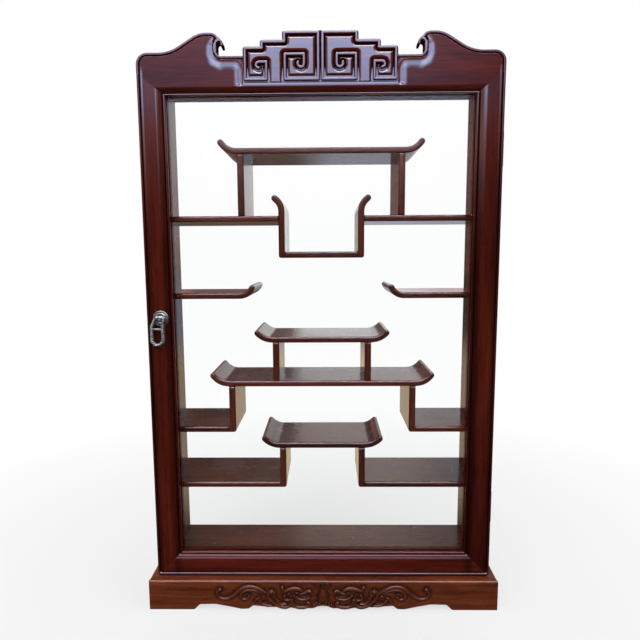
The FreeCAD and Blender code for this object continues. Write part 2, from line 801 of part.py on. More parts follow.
# Strands of the scroll carving on one side: radius as a share of the relief's height, then the
# corners of the strand in the same shares as the apron's edge
strand_shares = (
    (0.80, ((0.5707, 0.590, 0.000), (0.5707, 0.716, 0.052), (0.5997, 0.724, 0.070),
            (0.6003, 0.380, 0.120), (0.5375, 0.380, 0.240), (0.4572, 0.820, 0.320),
            (0.3630, 0.806, 0.240), (0.3141, 0.600, 0.000))),
    (0.62, ((0.3316, 0.590, 0.000), (0.3770, 0.696, 0.200), (0.4520, 0.704, 0.120),
            (0.4520, 0.420, 0.090), (0.4241, 0.420, 0.000))),
    (0.72, ((0.3155, 0.480, 0.000), (0.3368, 0.480, 0.050), (0.3525, 0.280, 0.080),
            (0.3578, 0.192, 0.000))),
    (0.92, ((0.2688, 0.512, 0.000), (0.2729, 0.644, 0.064), (0.3092, 0.620, 0.068),
            (0.3019, 0.340, 0.160), (0.2653, 0.104, 0.160), (0.1927, 0.088, 0.064),
            (0.1948, 0.248, 0.060), (0.2216, 0.208, 0.000))),
    (0.55, ((0.3490, 0.172, 0.000), (0.3141, 0.120, 0.120), (0.2723, 0.140, 0.000))),
    (0.78, ((0.2304, 0.790, 0.000), (0.2147, 0.670, 0.050), (0.1675, 0.720, 0.200),
            (0.1389, 0.730, 0.000))),
    (0.78, ((0.1620, 0.592, 0.000), (0.1239, 0.512, 0.120), (0.0908, 0.632, 0.100),
            (0.0684, 0.660, 0.000))),
    (0.64, ((0.2129, 0.590, 0.000), (0.2136, 0.392, 0.050), (0.1627, 0.372, 0.060),
            (0.1319, 0.304, 0.100), (0.0963, 0.368, 0.100), (0.0743, 0.460, 0.000))),
    (0.74, ((0.1731, 0.320, 0.000), (0.1623, 0.084, 0.100), (0.0855, 0.080, 0.080),
            (0.0698, 0.190, 0.052), (0.0880, 0.248, 0.000))),
    (0.68, ((0.2646, 0.430, 0.000), (0.2342, 0.308, 0.120), (0.1850, 0.276, 0.000))),
)

# Round knobs of the carving on one side: place as above, radius as a share of the relief's height
knob_shares = (
    (0.5714, 0.600, 1.00), (0.4244, 0.424, 0.80), (0.3229, 0.484, 0.85),
    (0.2297, 0.780, 0.85), (0.1403, 0.732, 1.00), (0.0705, 0.658, 0.85),
    (0.0873, 0.244, 0.80), (0.2171, 0.188, 0.85), (0.2709, 0.540, 0.90),
    (0.0454, 0.152, 0.85),
)

# Vase in the middle of the apron: widths and heights as shares of the plinth's height
vase_body_shares = (0.26, 0.34, 0.59)
vase_neck_shares = (0.14, 0.59, 0.68)
vase_flute_shares = (0.105, 0.70, 0.83)
vase_flute_radius_share = 0.85
vase_bead_shares = (0.088, 0.22)
vase_bead_radius_share = 0.9


def apron_point(shares):
    """Place on the face of the apron given as shares, and the corner radius there."""
    x_share, z_share, radius_share = shares
    return (Vector(x_share * base_half_width, y_base_front, z_share * base_height),
            radius_share * base_height)


def carving_strand(radius, shares):
    """Round strand with round ends, half sunk in the face of the apron."""
    corners = [apron_point(point) for point in shares]
    path = Part.Wire(rounded_edges(corners, False))
    start = corners[0][0]
    ring = Part.Wire(Part.makeCircle(radius, start, corners[1][0] - start))
    strand = path.makePipeShell([ring], True, False)
    return strand.multiFuse([Part.makeSphere(radius, corners[i][0]) for i in (0, -1)])


def vase():
    """Small vase in the middle of the apron: body, neck, three flutes on top and two beads."""
    front = y_base_front - relief_height * vase_flute_radius_share
    back = y_base_front + relief_height
    pieces = []
    for width, low, high in (vase_body_shares, vase_neck_shares):
        half = width * base_height / 2
        pieces.append(box(-half, half, front, back, low * base_height, high * base_height))
    step, low, high = vase_flute_shares
    radius = vase_flute_radius_share * relief_height
    for side in (-1, 0, 1):
        foot = Vector(side * step * base_height, y_base_front, low * base_height)
        rise = (high - low) * base_height
        pieces.append(Part.makeCylinder(radius, rise, foot))
        for z in (0, rise):
            pieces.append(Part.makeSphere(radius, foot + Vector(0, 0, z)))
    step, height = vase_bead_shares
    for side in (-1, 1):
        spot = Vector(side * step * base_height, y_base_front, height * base_height)
        pieces.append(Part.makeSphere(vase_bead_radius_share * relief_height, spot))
    return pieces


def apron_carving():
    """All raised pieces of the carving."""
    pieces = []
    for share, points in strand_shares:
        pieces.append(carving_strand(share * relief_height, points))
    for x_share, z_share, radius_share in knob_shares:
        spot = apron_point((x_share, z_share, 0))[0]
        pieces.append(Part.makeSphere(radius_share * relief_height, spot))
    pieces += [mirrored(piece) for piece in pieces]
    return pieces + vase()


def rounded_top(board_solid, away):
    """The board with the upper edge on its outer side rounded; away tells how far an edge's
    middle lies outside."""
    edges = [e for e in board_solid.Edges
             if e.BoundBox.ZMin > base_height - nearness and away(e.BoundBox.Center) > -nearness]
    return board_solid.makeFillet(base_edge_round, edges)


def make_plinth():
    """Mitred plinth frame with its carved front, and the panel let into its top."""
    lower = [(x * base_half_width, z * base_height, r * base_height)
             for x, z, r in apron_edge_shares]
    upper = [(base_half_width, base_height, 0), (-base_half_width, base_height, 0)]
    outline = with_mirror(lower[1:])
    outline.insert(len(outline) // 2, lower[0])
    front = slab(outline_face(outline + upper, 0), y_base_front,
                 y_base_front + base_board_thickness)
    front = rounded_top(front, lambda middle: y_base_front - middle.y)
    inner = base_half_width - base_board_thickness
    y_inner = y_base_front + base_board_thickness
    out_x = base_half_width + overrun
    out_y = y_base_front - overrun
    corner = [(out_x, out_y), (inner - overrun, y_inner + overrun), (out_x, y_inner + overrun)]
    points = [Vector(x, y, -overrun) for x, y in corner]
    wedge = Part.Face(Part.makePolygon(points + points[:1]))
    wedge = wedge.extrude(Vector(0, 0, base_height + 2 * overrun))
    front = front.cut([wedge, mirrored(wedge)])
    for piece in apron_carving():
        front = front.fuse(piece)
    nodes["plinth_front"] = front
    side = box(inner, base_half_width, y_base_front, y_back, 0, base_height)
    side = rounded_top(side, lambda middle: middle.x - base_half_width)
    side = side.common(wedge.fuse(box(inner, out_x, y_inner, y_back + overrun, -overrun,
                                      base_height + overrun)))
    nodes["plinth_side_right"] = side
    nodes["plinth_side_left"] = mirrored(side)
    y_rail = y_back - base_board_thickness
    nodes["plinth_back"] = box(-inner, inner, y_rail, y_back, 0, base_height)
    nodes["plinth_top"] = box(-inner, inner, y_inner, y_rail, base_height - base_top_thickness,
                              base_height)


# Hinges


def hinge_axis():
    """Place of the hinge pin seen from above."""
    return door_half_width + knuckle_reach, (y_door_back + y_case_front) / 2


def screw_places(z_middle):
    """Heights of the screws of one hinge leaf."""
    first = -(hinge_screw_count - 1) / 2
    return [z_middle + (first + i) * hinge_screw_pitch for i in range(hinge_screw_count)]


def screw(x, y, z, way, extra):
    """Screw whose head's face is at y and whose shank points along way (1 or -1) in Y."""
    head = Part.makeCylinder(screw_head_radius + extra, screw_head_depth, Vector(x, y, z),
                             Vector(0, way, 0))
    shank = Part.makeCylinder(screw_radius + extra, screw_length + extra, Vector(x, y, z),
                              Vector(0, way, 0))
    return head.fuse(shank).removeSplitter()


def hinge_leaf(z_middle, on_case):
    """One leaf with its knuckles: the case leaf has the two outer ones, the door leaf the
    middle one."""
    axis_x, axis_y = hinge_axis()
    low = z_middle - hinge_height / 2
    third = hinge_height / 3
    if on_case:
        y0, y1 = y_case_front - hinge_leaf_thickness, y_case_front
        spans = [(low, low + third), (low + 2 * third, low + hinge_height)]
        other = [(low + third, low + 2 * third)]
        edge = case_half_width
    else:
        y0, y1 = y_door_back, y_door_back + hinge_leaf_thickness
        spans = [(low + third + knuckle_gap, low + 2 * third - knuckle_gap)]
        other = [(low - knuckle_gap, low + third + knuckle_gap),
                 (low + 2 * third - knuckle_gap, low + hinge_height + knuckle_gap)]
        edge = door_half_width
    leaf = box(edge - hinge_leaf_width, axis_x, y0, y1, low, low + hinge_height)
    away = [Part.makeCylinder(knuckle_radius + knuckle_gap, b - a, Vector(axis_x, axis_y, a))
            for a, b in other]
    knuckles = [Part.makeCylinder(knuckle_radius, b - a, Vector(axis_x, axis_y, a))
                for a, b in spans]
    bore = Part.makeCylinder(hinge_pin_radius + hinge_pin_clearance, hinge_height + 2 * overrun,
                             Vector(axis_x, axis_y, low - overrun))
    return leaf.cut(away).multiFuse(knuckles).cut(bore).removeSplitter()


def make_hinges():
    """Two butt hinges and their screws, with the screw holes in the wood."""
    axis_x, axis_y = hinge_axis()
    case_screws, door_screws, case_holes, door_holes = [], [], [], []
    places = {"lower": z_door_bottom + hinge_from_door_end,
              "upper": z_mitre_top - hinge_from_door_end}
    for name, z_middle in places.items():
        case_leaf = hinge_leaf(z_middle, True)
        door_leaf = hinge_leaf(z_middle, False)
        case_x = case_half_width - hinge_leaf_width / 2
        door_x = door_half_width - hinge_leaf_width / 2
        for z in screw_places(z_middle):
            y_case = y_case_front - hinge_leaf_thickness
            y_door = y_door_back + hinge_leaf_thickness
            case_screws.append(screw(case_x, y_case, z, 1, 0))
            door_screws.append(screw(door_x, y_door, z, -1, 0))
            case_holes.append(screw(case_x, y_case, z, 1, screw_clearance))
            door_holes.append(screw(door_x, y_door, z, -1, screw_clearance))
        nodes["hinge_%s_case_leaf" % name] = case_leaf.cut(case_holes)
        nodes["hinge_%s_door_leaf" % name] = door_leaf.cut(door_holes)
        low = z_middle - hinge_height / 2
        pin = Part.makeCylinder(hinge_pin_radius, hinge_height, Vector(axis_x, axis_y, low))
        caps = [Part.makeCylinder(knuckle_radius, hinge_pin_head, Vector(axis_x, axis_y, z))
                for z in (low - hinge_pin_head, low + hinge_height)]
        nodes["hinge_%s_pin" % name] = pin.multiFuse(caps).removeSplitter()
    nodes["hinge_screws_case"] = Part.makeCompound(case_screws)
    nodes["hinge_screws_door"] = Part.makeCompound(door_screws)
    nodes["case_side_right"] = nodes["case_side_right"].cut(case_holes)
    nodes["door_stile_right"] = nodes["door_stile_right"].cut(door_holes)


# Ring pull


def make_pull():
    """Round plate, post and the hanging loop on the left stile."""
    front = y_door_front
    centre = Vector(pull_x, front, pull_z)
    hole = post_shank_radius + post_shank_clearance
    profile = [(hole, 0), (plate_radius, 0), (plate_radius, plate_rim_height / 2),
               (plate_radius - plate_rim_height, plate_rim_height),
               (plate_ring_radius + plate_rim_height, plate_rim_height),
               (plate_ring_radius, plate_ring_height), (plate_dish_radius, plate_dish_height),
               (hole, plate_dish_height)]
    points = [centre + Vector(r, -h, 0) for r, h in profile]
    face = Part.Face(Part.makePolygon(points + points[:1]))
    nodes["pull_plate"] = face.revolve(centre, Vector(0, 1, 0), 360)
    seat = front - plate_dish_height
    head = Part.makeCylinder(post_head_radius, post_head_height, Vector(pull_x, seat, pull_z),
                             Vector(0, -1, 0))
    head = round_front(head, seat - post_head_height, post_head_round)
    shank = Part.makeCylinder(post_shank_radius, post_shank_length + plate_dish_height,
                              Vector(pull_x, seat, pull_z), Vector(0, 1, 0))
    axis_y = seat - pull_axis_height
    bore = Part.makeCylinder(pull_axle_radius + pull_axle_clearance,
                             2 * post_head_radius + 2 * overrun,
                             Vector(pull_x - post_head_radius - overrun, axis_y, pull_z),
                             Vector(1, 0, 0))
    nodes["pull_post"] = head.fuse(shank).cut(bore)
    neck, wide = pull_neck_half_width, pull_half_width
    low_x = pull_x - pull_lean
    corners = [
        (Vector(pull_x - neck, axis_y, pull_z), 0),
        (Vector(low_x - wide, axis_y, pull_z - pull_neck_drop), pull_neck_round),
        (Vector(low_x - wide, axis_y, pull_z - pull_side_drop - wide), wide),
        (Vector(low_x + wide, axis_y, pull_z - pull_side_drop - wide), wide),
        (Vector(low_x + wide, axis_y, pull_z - pull_neck_drop), pull_neck_round),
        (Vector(pull_x + neck, axis_y, pull_z), 0),
    ]
    path = Part.Wire(rounded_edges(corners, False))
    ring = Part.Wire(Part.makeCircle(pull_wire_radius, corners[0][0],
                                     corners[1][0] - corners[0][0]))
    loop = path.makePipeShell([ring], True, False)
    axle = Part.makeCylinder(pull_axle_radius, 2 * neck, Vector(pull_x - neck, axis_y, pull_z),
                             Vector(1, 0, 0))
    bar = Part.makeCylinder(pull_bar_radius, 2 * wide,
                            Vector(low_x - wide, axis_y, pull_z - pull_bar_drop),
                            Vector(1, 0, 0))
    ends = [Part.makeSphere(pull_wire_radius, corners[i][0]) for i in (0, -1)]
    nodes["pull_ring"] = loop.multiFuse([axle, bar] + ends)
    socket = Part.makeCylinder(hole, post_shank_length + post_shank_clearance, centre,
                               Vector(0, 1, 0))
    nodes["door_stile_left"] = nodes["door_stile_left"].cut(socket)


make_plinth()
make_case()
make_shelves()
make_door()
make_hinges()
make_pull()

for node, shape in nodes.items():
    shape.exportStep("parts/%s.step" % node)
    print(node, len(shape.Solids), shape.isValid(), round(shape.Volume))
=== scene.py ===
import math
import random

import bmesh
import bpy
import numpy as np
from mathutils import Matrix, Vector


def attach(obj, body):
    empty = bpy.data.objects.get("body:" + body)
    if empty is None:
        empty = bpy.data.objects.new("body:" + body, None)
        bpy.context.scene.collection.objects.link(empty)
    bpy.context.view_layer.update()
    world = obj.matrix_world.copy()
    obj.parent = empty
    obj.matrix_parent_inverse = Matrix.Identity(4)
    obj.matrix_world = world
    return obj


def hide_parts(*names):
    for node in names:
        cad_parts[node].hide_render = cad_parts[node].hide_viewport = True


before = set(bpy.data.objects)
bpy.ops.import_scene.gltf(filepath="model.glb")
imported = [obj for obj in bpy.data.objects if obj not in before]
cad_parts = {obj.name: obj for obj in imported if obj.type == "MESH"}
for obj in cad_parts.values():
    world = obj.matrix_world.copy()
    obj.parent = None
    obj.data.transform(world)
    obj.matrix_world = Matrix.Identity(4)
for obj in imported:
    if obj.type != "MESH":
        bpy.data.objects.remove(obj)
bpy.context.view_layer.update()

bl_info = {
    "name": "Chinese Book Cabinet",
    "version": (1, 0, 0),
    "blender": (4, 5, 0),
    "location": "View3D > Sidebar > Cabinet",
    "description": "Dresses a glazed hardwood display cabinet with carved crest and plinth",
    "category": "Object",
}

MM = 0.001
# Points nearer to each other than this are joined, in metres
MERGE = 2e-6
# Faces that meet at less than this are smooth: on boards, the pull's plate and carved work
SMOOTH_ANGLE = math.radians(32)
PLATE_ANGLE = math.radians(50)
CARVED_ANGLE = math.radians(60)
# Triangles that meet at less than this are one flat face
FLAT_ANGLE = math.radians(0.4)
# What meshes keep at each point: its place in its board, how much painted shade darkens it
# (in grooves, hollows and on the carving's sides) and how polished it is
GRAIN, PAINTED_SHADE, POLISH = "board", "hollow", "polish"

# Boards of each body with the direction of their grain
CABINET_BOARDS = {
    "plinth_side_right": "y", "plinth_side_left": "y", "plinth_back": "x", "plinth_top": "x",
    "case_side_right": "z", "case_side_left": "z", "case_top": "x", "case_floor": "x",
    "back_strip_bottom": "x", "back_strip_top": "x", "back_strip_right": "z",
    "back_strip_left": "z",
    "crown_shelf": "x", "crown_upright_right": "z", "crown_upright_left": "z",
    "wing_shelf_right": "x", "wing_shelf_left": "x",
    "trough_side_right": "z", "trough_side_left": "z", "trough_bottom": "x",
    "ledge_left": "x", "ledge_right": "x",
    "bridge_shelf": "x", "bridge_upright_right": "z", "bridge_upright_left": "z",
    "wide_shelf": "x", "wide_upright_right": "z", "wide_upright_left": "z",
    "side_shelf_right": "x", "side_shelf_left": "x",
    "low_shelf": "x", "low_upright_right": "z", "low_upright_left": "z",
    "bottom_shelf_right": "x", "bottom_shelf_left": "x",
}
DOOR_BOARDS = {
    "door_strip_bottom": "x", "door_strip_top": "x", "door_strip_right": "z",
    "door_strip_left": "z", "door_stile_right": "z", "door_stile_left": "z",
    "door_bottom_rail": "x",
}
SHELF_START = ("crown", "wing", "trough", "ledge", "bridge", "wide", "side_shelf", "low",
               "bottom_shelf")

# Boards above the door's opening, whose wood is darkened as painted shade and whose coat is thin
UNSEEN_TOP = ("case_top", "back_strip_top")

# Door frame, in millimetres: y of its front, half its width, the height from which its outer
# groove runs over the crest, the top of its outer bead below, and how wide its edge mouldings are
DOOR_FRONT = -67.1
DOOR_HALF = 275.0
GROOVE_FROM = 838.0
DOOR_FOOT_EDGE = 60.0
EDGE_WIDTH = 6.6
# Depths below the front, in millimetres: the outer groove and the one inside, how far a point may
# lie off them, and the beads at the frame's edge and at its opening, from and to
GROOVES = (3.5, 6.2)
GROOVE_SPREAD = 0.3
EDGE_BEAD = (0.6, 2.6)
SIGHT_BEADS = (0.05, 5.0)
SIGHT_BEADS_FROM = 100.0

# Fret block on the crest, in millimetres: (half width, top) of its steps, then its foot, the
# rounding of its corners, the y behind which the plain one stays, the y of the carved one's back
# and its grid
FRET_STEPS = ((114.9, 887.4), (89.5, 896.6), (56.4, 909.0))
FRET_FOOT = 837.2
FRET_ROUNDING = 3.5
FRET_CUT = -65.0
FRET_BACK = -64.6
FRET_GRID = (400, 126)
# Heights of the fret's ground, rib and pads over the flat, and distances from the rib's middle:
# the rib's shoulder and foot, the pad's foot and top, and the band between them that gets
# painted shade
FRET_GROUND, RIB_TOP, PAD_TOP = -0.9, 2.15, 1.05
RIB_EDGE = (1.5, 3.0)
PAD_EDGE = (3.6, 8.0)
FRET_SHADE = (1.9, 2.5, 4.3, 6.0)
# Raised rib of the fret on one side, from the outer spiral's curl to the inner one's
FRET_RIB = (
    (91.4, 856.4), (94.6, 857.6), (95.6, 860.6), (94.2, 863.8), (90.6, 864.9), (80.2, 864.9),
    (80.2, 840.1), (111.7, 840.1), (111.7, 884.2), (86.3, 884.2), (86.3, 893.5), (53.2, 893.5),
    (53.2, 905.9), (3.05, 905.9), (3.05, 840.1), (52.6, 840.1), (52.6, 875.6), (24.2, 875.6),
    (24.2, 862.0), (25.2, 858.6), (28.2, 856.9), (31.6, 857.9), (33.6, 860.8), (33.2, 864.4),
)

# Worked hollow of the crest on one side, (x, z, corner radius) in millimetres: beside the fret,
# under the ledge and up into the hook
SCOOP_AXIS = ((120.4, 836.0, 0), (120.4, 863.7, 9), (162.3, 863.7, 14.5), (162.3, 889.3, 0))
SCOOP_HALF = 5.6
# Its depth, in millimetres, from the field's side to the side of the hook, ledge or fret
SCOOP_PROFILE = ((-5.6, 0), (-4.0, 0.04), (-2.5, 0.12), (-1.0, 0.25), (0, 0.33), (1.0, 0.37),
                 (2.5, 0.36), (4.0, 0.23), (5.6, 0))
# Only points less deep than this are put on that section
SCOOP_DEEPEST = 2.3
# Beside the fret it is deeper: x up to which, heights from and to, and how many times
SCOOP_BESIDE = (132.0, (848.0, 862.0), (3, 1))
# Inside of the horn's hook, which gets painted shade, in millimetres: x and z from and to, and
# its least depth
HOOK_ROOM = ((141.0, 157.0), (873.5, 898.0))
HOOK_DEPTH = 1.9
# Lines along which the crest's coat is thick, in millimetres, and the middle of the ledge
GLOW_LINE = ((121.0, 836.0), (121.0, 855.0), (123.5, 860.5), (129.4, 862.0), (148.0, 862.0),
             (158.0, 867.0), (161.5, 877.0), (161.0, 886.0), (157.5, 892.5), (151.5, 897.0))
FOOT_LINE = ((0, 835.5), (114.0, 835.5))
LEDGE_MIDDLE = 138.0
# Edge of the stiles' field, beside the outer groove
FIELD_EDGE = 267.0

# Lower edge of the plinth's front on one side, in millimetres: (x, z, corner radius)
APRON_EDGE = (
    (0, 5.6, 0), (7.5, 5.2, 5), (15, 2.6, 6), (24, 1.6, 10), (38, 0.8, 14), (46.5, 1.3, 6),
    (52, 2.9, 1), (57.5, 1.2, 5), (67, 1.0, 10), (76.5, 3.8, 5), (92, 3.6, 20), (105, 6.2, 12),
    (115.5, 7.0, 3), (122.5, 1.6, 4), (134, 1.0, 20), (150, 4.6, 60), (177, 9.8, 30),
    (203, 9.2, 3), (212.5, 0, 1.5), (286.5, 0, 0),
)

# Apron, in millimetres: y of its front, half its width, its top, thickness and rounding, half the
# width of its carved part, and the heights at which the carving is gone and whole at its top
APRON_FRONT, APRON_HALF, APRON_TOP, APRON_THICK, APRON_ROUND = -80.1, 286.5, 50.0, 18.0, 3.0
CARVED_HALF = 178.0
CARVED_TOP = (46.9, 46.0)
# Its grid, and the shares of it that go to the carved part and to the face under the rounding
APRON_GRID = (700, 84)
GRID_CARVED, GRID_FACE = 0.86, 0.90
# Heights of the carving's ground, of a strand's and a knob's top and of the vase over the ground,
# the depth of a hollow, and the lowest and highest point
APRON_GROUND, STRAND_TOP, KNOB_TOP, VASE_TOP = -1.3, 2.3, 2.85, 3.9
HOLLOW_DEPTH = 1.4
APRON_LIMITS = (-3.2, 2.9)
# Half width from which a strand is of full height, and the groove cut beside each: depth, width
# beside a strand and beside the vase
FULL_STRAND = 2.9
BESIDE_DEPTH, BESIDE_STRAND, BESIDE_VASE = 0.8, 1.2, 1.3
# Flutes of the vase: height, turn for a millimetre and the height of the board that they reach
VASE_FLUTE, FLUTE_TURN, FLUTE_END = 0.22, 2.1, 30.0
# Carving of the apron on one side, in the order in which it is cut, in millimetres: (x, z, half
# width) along each strand
STRANDS = (
    ("hollow", ((124.5, 28.6, 2.9), (121.5, 26.6, 2.2))),
    ("strand", ((98.9, 28.8, 1.9), (107.0, 32.8, 2.4), (116.4, 35.0, 2.6), (125.8, 34.1, 2.8),
                (133.2, 29.7, 3.0), (135.8, 23.8, 2.8), (132.4, 18.8, 2.4), (126.9, 18.3, 1.9),
                (123.0, 21.4, 1.7))),
    ("knob", ((122.8, 21.6, 1.9), (122.6, 21.9, 1.9))),
    ("strand", ((169.6, 35.3, 3.2), (173.0, 31.0, 2.7), (173.8, 25.9, 2.6), (169.9, 21.0, 2.6),
                (163.2, 18.8, 2.7), (154.9, 20.1, 2.9), (146.5, 25.0, 3.1), (139.3, 31.2, 3.3),
                (132.1, 36.8, 3.3), (123.9, 39.7, 3.3), (115.7, 39.6, 3.3), (107.4, 37.1, 3.0),
                (99.4, 32.8, 2.7), (93.4, 28.6, 2.1))),
    ("knob", ((169.4, 34.6, 3.5), (169.7, 33.6, 3.3))),
    ("strand", ((104.4, 15.7, 2.1), (99.8, 10.6, 2.1), (92.8, 7.2, 2.4), (84.6, 6.9, 2.1))),
    ("strand", ((105.5, 20.6, 1.5), (110.2, 17.3, 1.7), (111.5, 12.8, 1.5))),
    ("hollow", ((97.0, 12.9, 2.1), (91.4, 12.4, 2.0))),
    ("strand", ((80.8, 28.9, 3.2), (78.8, 22.1, 2.1), (74.6, 14.2, 2.4), (68.2, 9.4, 2.4),
                (61.4, 9.8, 1.9))),
    ("strand", ((86.6, 29.9, 4.0), (90.2, 25.1, 2.8), (86.9, 18.3, 2.8), (80.4, 11.6, 3.0),
                (72.4, 6.2, 3.1), (63.6, 4.0, 3.1), (56.2, 5.6, 2.9), (52.7, 10.6, 2.5),
                (53.8, 14.9, 1.9))),
    ("knob", ((84.2, 30.4, 4.3), (84.0, 30.2, 4.3))),
    ("knob", ((97.1, 23.6, 2.5), (96.8, 23.6, 2.5))),
    ("hollow", ((35.8, 23.6, 1.6), (29.3, 23.4, 2.2), (23.4, 25.4, 1.5))),
    ("hollow", ((44.4, 29.0, 1.6), (40.4, 29.8, 1.4))),
    ("strand", ((63.1, 24.6, 1.9), (63.7, 18.8, 2.1), (58.6, 16.5, 2.1), (53.2, 18.9, 1.9),
                (52.6, 23.6, 1.5))),
    ("strand", ((50.8, 16.3, 2.4), (50.1, 10.7, 3.0), (45.7, 5.6, 3.0), (37.5, 3.6, 3.0),
                (29.3, 4.2, 3.0), (22.9, 7.2, 2.6), (22.3, 11.2, 1.8), (26.0, 12.4, 1.4))),
    ("strand", ((47.8, 24.6, 1.9), (43.1, 20.4, 2.2), (36.2, 17.5, 2.5), (28.0, 18.2, 2.2),
                (22.8, 21.1, 1.6))),
    ("strand", ((36.8, 27.3, 1.8), (30.2, 29.3, 2.1), (23.8, 32.2, 2.7), (20.0, 31.8, 2.2))),
    ("strand", ((66.4, 38.4, 2.6), (64.8, 33.0, 2.0), (61.9, 28.3, 1.6))),
    ("strand", ((61.6, 32.6, 2.4), (53.6, 36.0, 2.9), (45.4, 37.4, 3.1), (37.8, 35.4, 2.9),
                (34.8, 32.2, 2.1))),
    ("knob", ((66.6, 38.6, 2.9), (66.6, 38.4, 2.9))),
    ("knob", ((56.0, 27.6, 2.0), (55.8, 27.6, 2.0))),
    ("knob", ((21.0, 31.9, 2.5), (20.6, 31.7, 2.4))),
    ("knob", ((13.9, 8.7, 2.0), (13.7, 8.7, 2.0))),
    ("knob", ((10.2, 11.6, 1.6), (10.0, 11.6, 1.6))),
    ("knob", ((9.2, 7.6, 1.5), (9.0, 7.6, 1.5))),
    ("knob", ((5.2, 12.2, 2.0), (4.8, 12.2, 2.0))),
    ("strand", ((5.6, 8.3, 1.1), (0.0, 8.0, 1.1))),
    ("strand", ((10.2, 46.0, 1.0), (9.0, 41.8, 1.7), (5.2, 35.4, 1.2))),
    ("strand", ((6.6, 46.4, 0.9), (5.9, 42.0, 1.3), (3.6, 36.0, 1.0))),
    ("strand", ((1.7, 46.4, 1.0), (1.6, 41.6, 1.5), (1.2, 35.4, 1.2))),
)
# Vase in the middle of the apron, in millimetres: (z, half width) from its foot to its lip
VASE = ((14.8, 5.2), (16.6, 7.2), (20.5, 8.2), (24.0, 8.2), (28.0, 6.8), (31.0, 4.8),
        (33.0, 4.0), (35.2, 4.6))

# Ring pull, in millimetres: place of its centre, y of the loop's plane, and (radius, height) of
# the plate's profile
PULL_X, PULL_Z = -252.5, 483.0
LOOP_Y = -74.1
PLATE_PROFILE = (
    (0, 1.3), (5.4, 1.3), (6.2, 1.45), (6.9, 1.9), (7.5, 2.1), (8.1, 2.0), (8.6, 1.5), (9.0, 0.9),
    (9.6, 0.7), (10.1, 0.8), (10.6, 1.15), (11.3, 1.3), (11.9, 1.2), (12.3, 0.8), (12.5, 0.3),
    (12.5, 0.0),
)
# Radius and turns of the loop's and the crossbar's twisted wire, and the bar's place and half
# length
LOOP_WIRE, LOOP_TURNS = 3.2, 26
BAR_WIRE, BAR_TURNS = 2.3, 4
BAR_X, BAR_Z, BAR_HALF = -4.0, -16.5, 8.6
# Rings of points along a wire: their spacing, the points in each, how far off its way is taken,
# and the flutes between its three strands as a share of its radius
ROPE_SPACING, ROPE_AROUND, ROPE_REACH, ROPE_FLUTE = 0.45, 24, 0.4, 0.10
# Corners (x, z, radius) of the loop's sides and the points of its arch above the axis
LOOP_SIDES = ((-6.5, 0, 0), (-12.6, -13, 8), (-12.6, -41.6, 8.6), (4.6, -41.6, 8.6),
              (4.6, -13, 8), (6.5, 0, 0))
LOOP_ARCH = ((6.5, 0), (5.6, 1.1), (3.2, 1.7), (0, 1.9), (-3.2, 1.7), (-5.6, 1.1), (-6.5, 0))


def slot_of(name):
    """Material slot of the record for a board."""
    if name.startswith("door_"):
        return "door_wood"
    if name.startswith("plinth_"):
        return "plinth_wood"
    if name.startswith(SHELF_START):
        return "shelf_wood"
    return "case_wood"


class CabinetFinish(bpy.types.PropertyGroup):
    """Colours and gloss of the lacquered wood, the glass and the metal."""

    door_dark: bpy.props.FloatVectorProperty(
        name="Door dark", description="Dark streaks of the door frame's wood", subtype="COLOR",
        size=3, min=0, max=1, default=(0.022, 0.0024, 0.0014))
    door_light: bpy.props.FloatVectorProperty(
        name="Door light", description="Light streaks of the door frame's wood", subtype="COLOR",
        size=3, min=0, max=1, default=(0.090, 0.0115, 0.0060))
    case_dark: bpy.props.FloatVectorProperty(
        name="Case dark", description="Dark streaks of the case and shelves", subtype="COLOR",
        size=3, min=0, max=1, default=(0.028, 0.0060, 0.0032))
    case_light: bpy.props.FloatVectorProperty(
        name="Case light", description="Light streaks of the case and shelves", subtype="COLOR",
        size=3, min=0, max=1, default=(0.105, 0.0240, 0.0115))
    plinth_dark: bpy.props.FloatVectorProperty(
        name="Plinth dark", description="Dark streaks of the plinth", subtype="COLOR",
        size=3, min=0, max=1, default=(0.065, 0.0120, 0.0036))
    plinth_light: bpy.props.FloatVectorProperty(
        name="Plinth light", description="Light streaks of the plinth", subtype="COLOR",
        size=3, min=0, max=1, default=(0.210, 0.0480, 0.0140))
    gloss: bpy.props.FloatProperty(
        name="Gloss", description="Strength of the shelves' lacquer coat", subtype="FACTOR",
        min=0, max=1, default=0.8)
    glass_tint: bpy.props.FloatVectorProperty(
        name="Glass tint", description="Colour of light through the panes", subtype="COLOR",
        size=3, min=0, max=1, default=(0.996, 0.999, 0.998))
    brass: bpy.props.FloatVectorProperty(
        name="Brass", description="Colour of the hinges", subtype="COLOR", size=3, min=0, max=1,
        default=(0.50, 0.33, 0.13))
    old_metal: bpy.props.FloatVectorProperty(
        name="Old metal", description="Colour of the pull's worn metal", subtype="COLOR", size=3,
        min=0, max=1, default=(0.21, 0.22, 0.185))


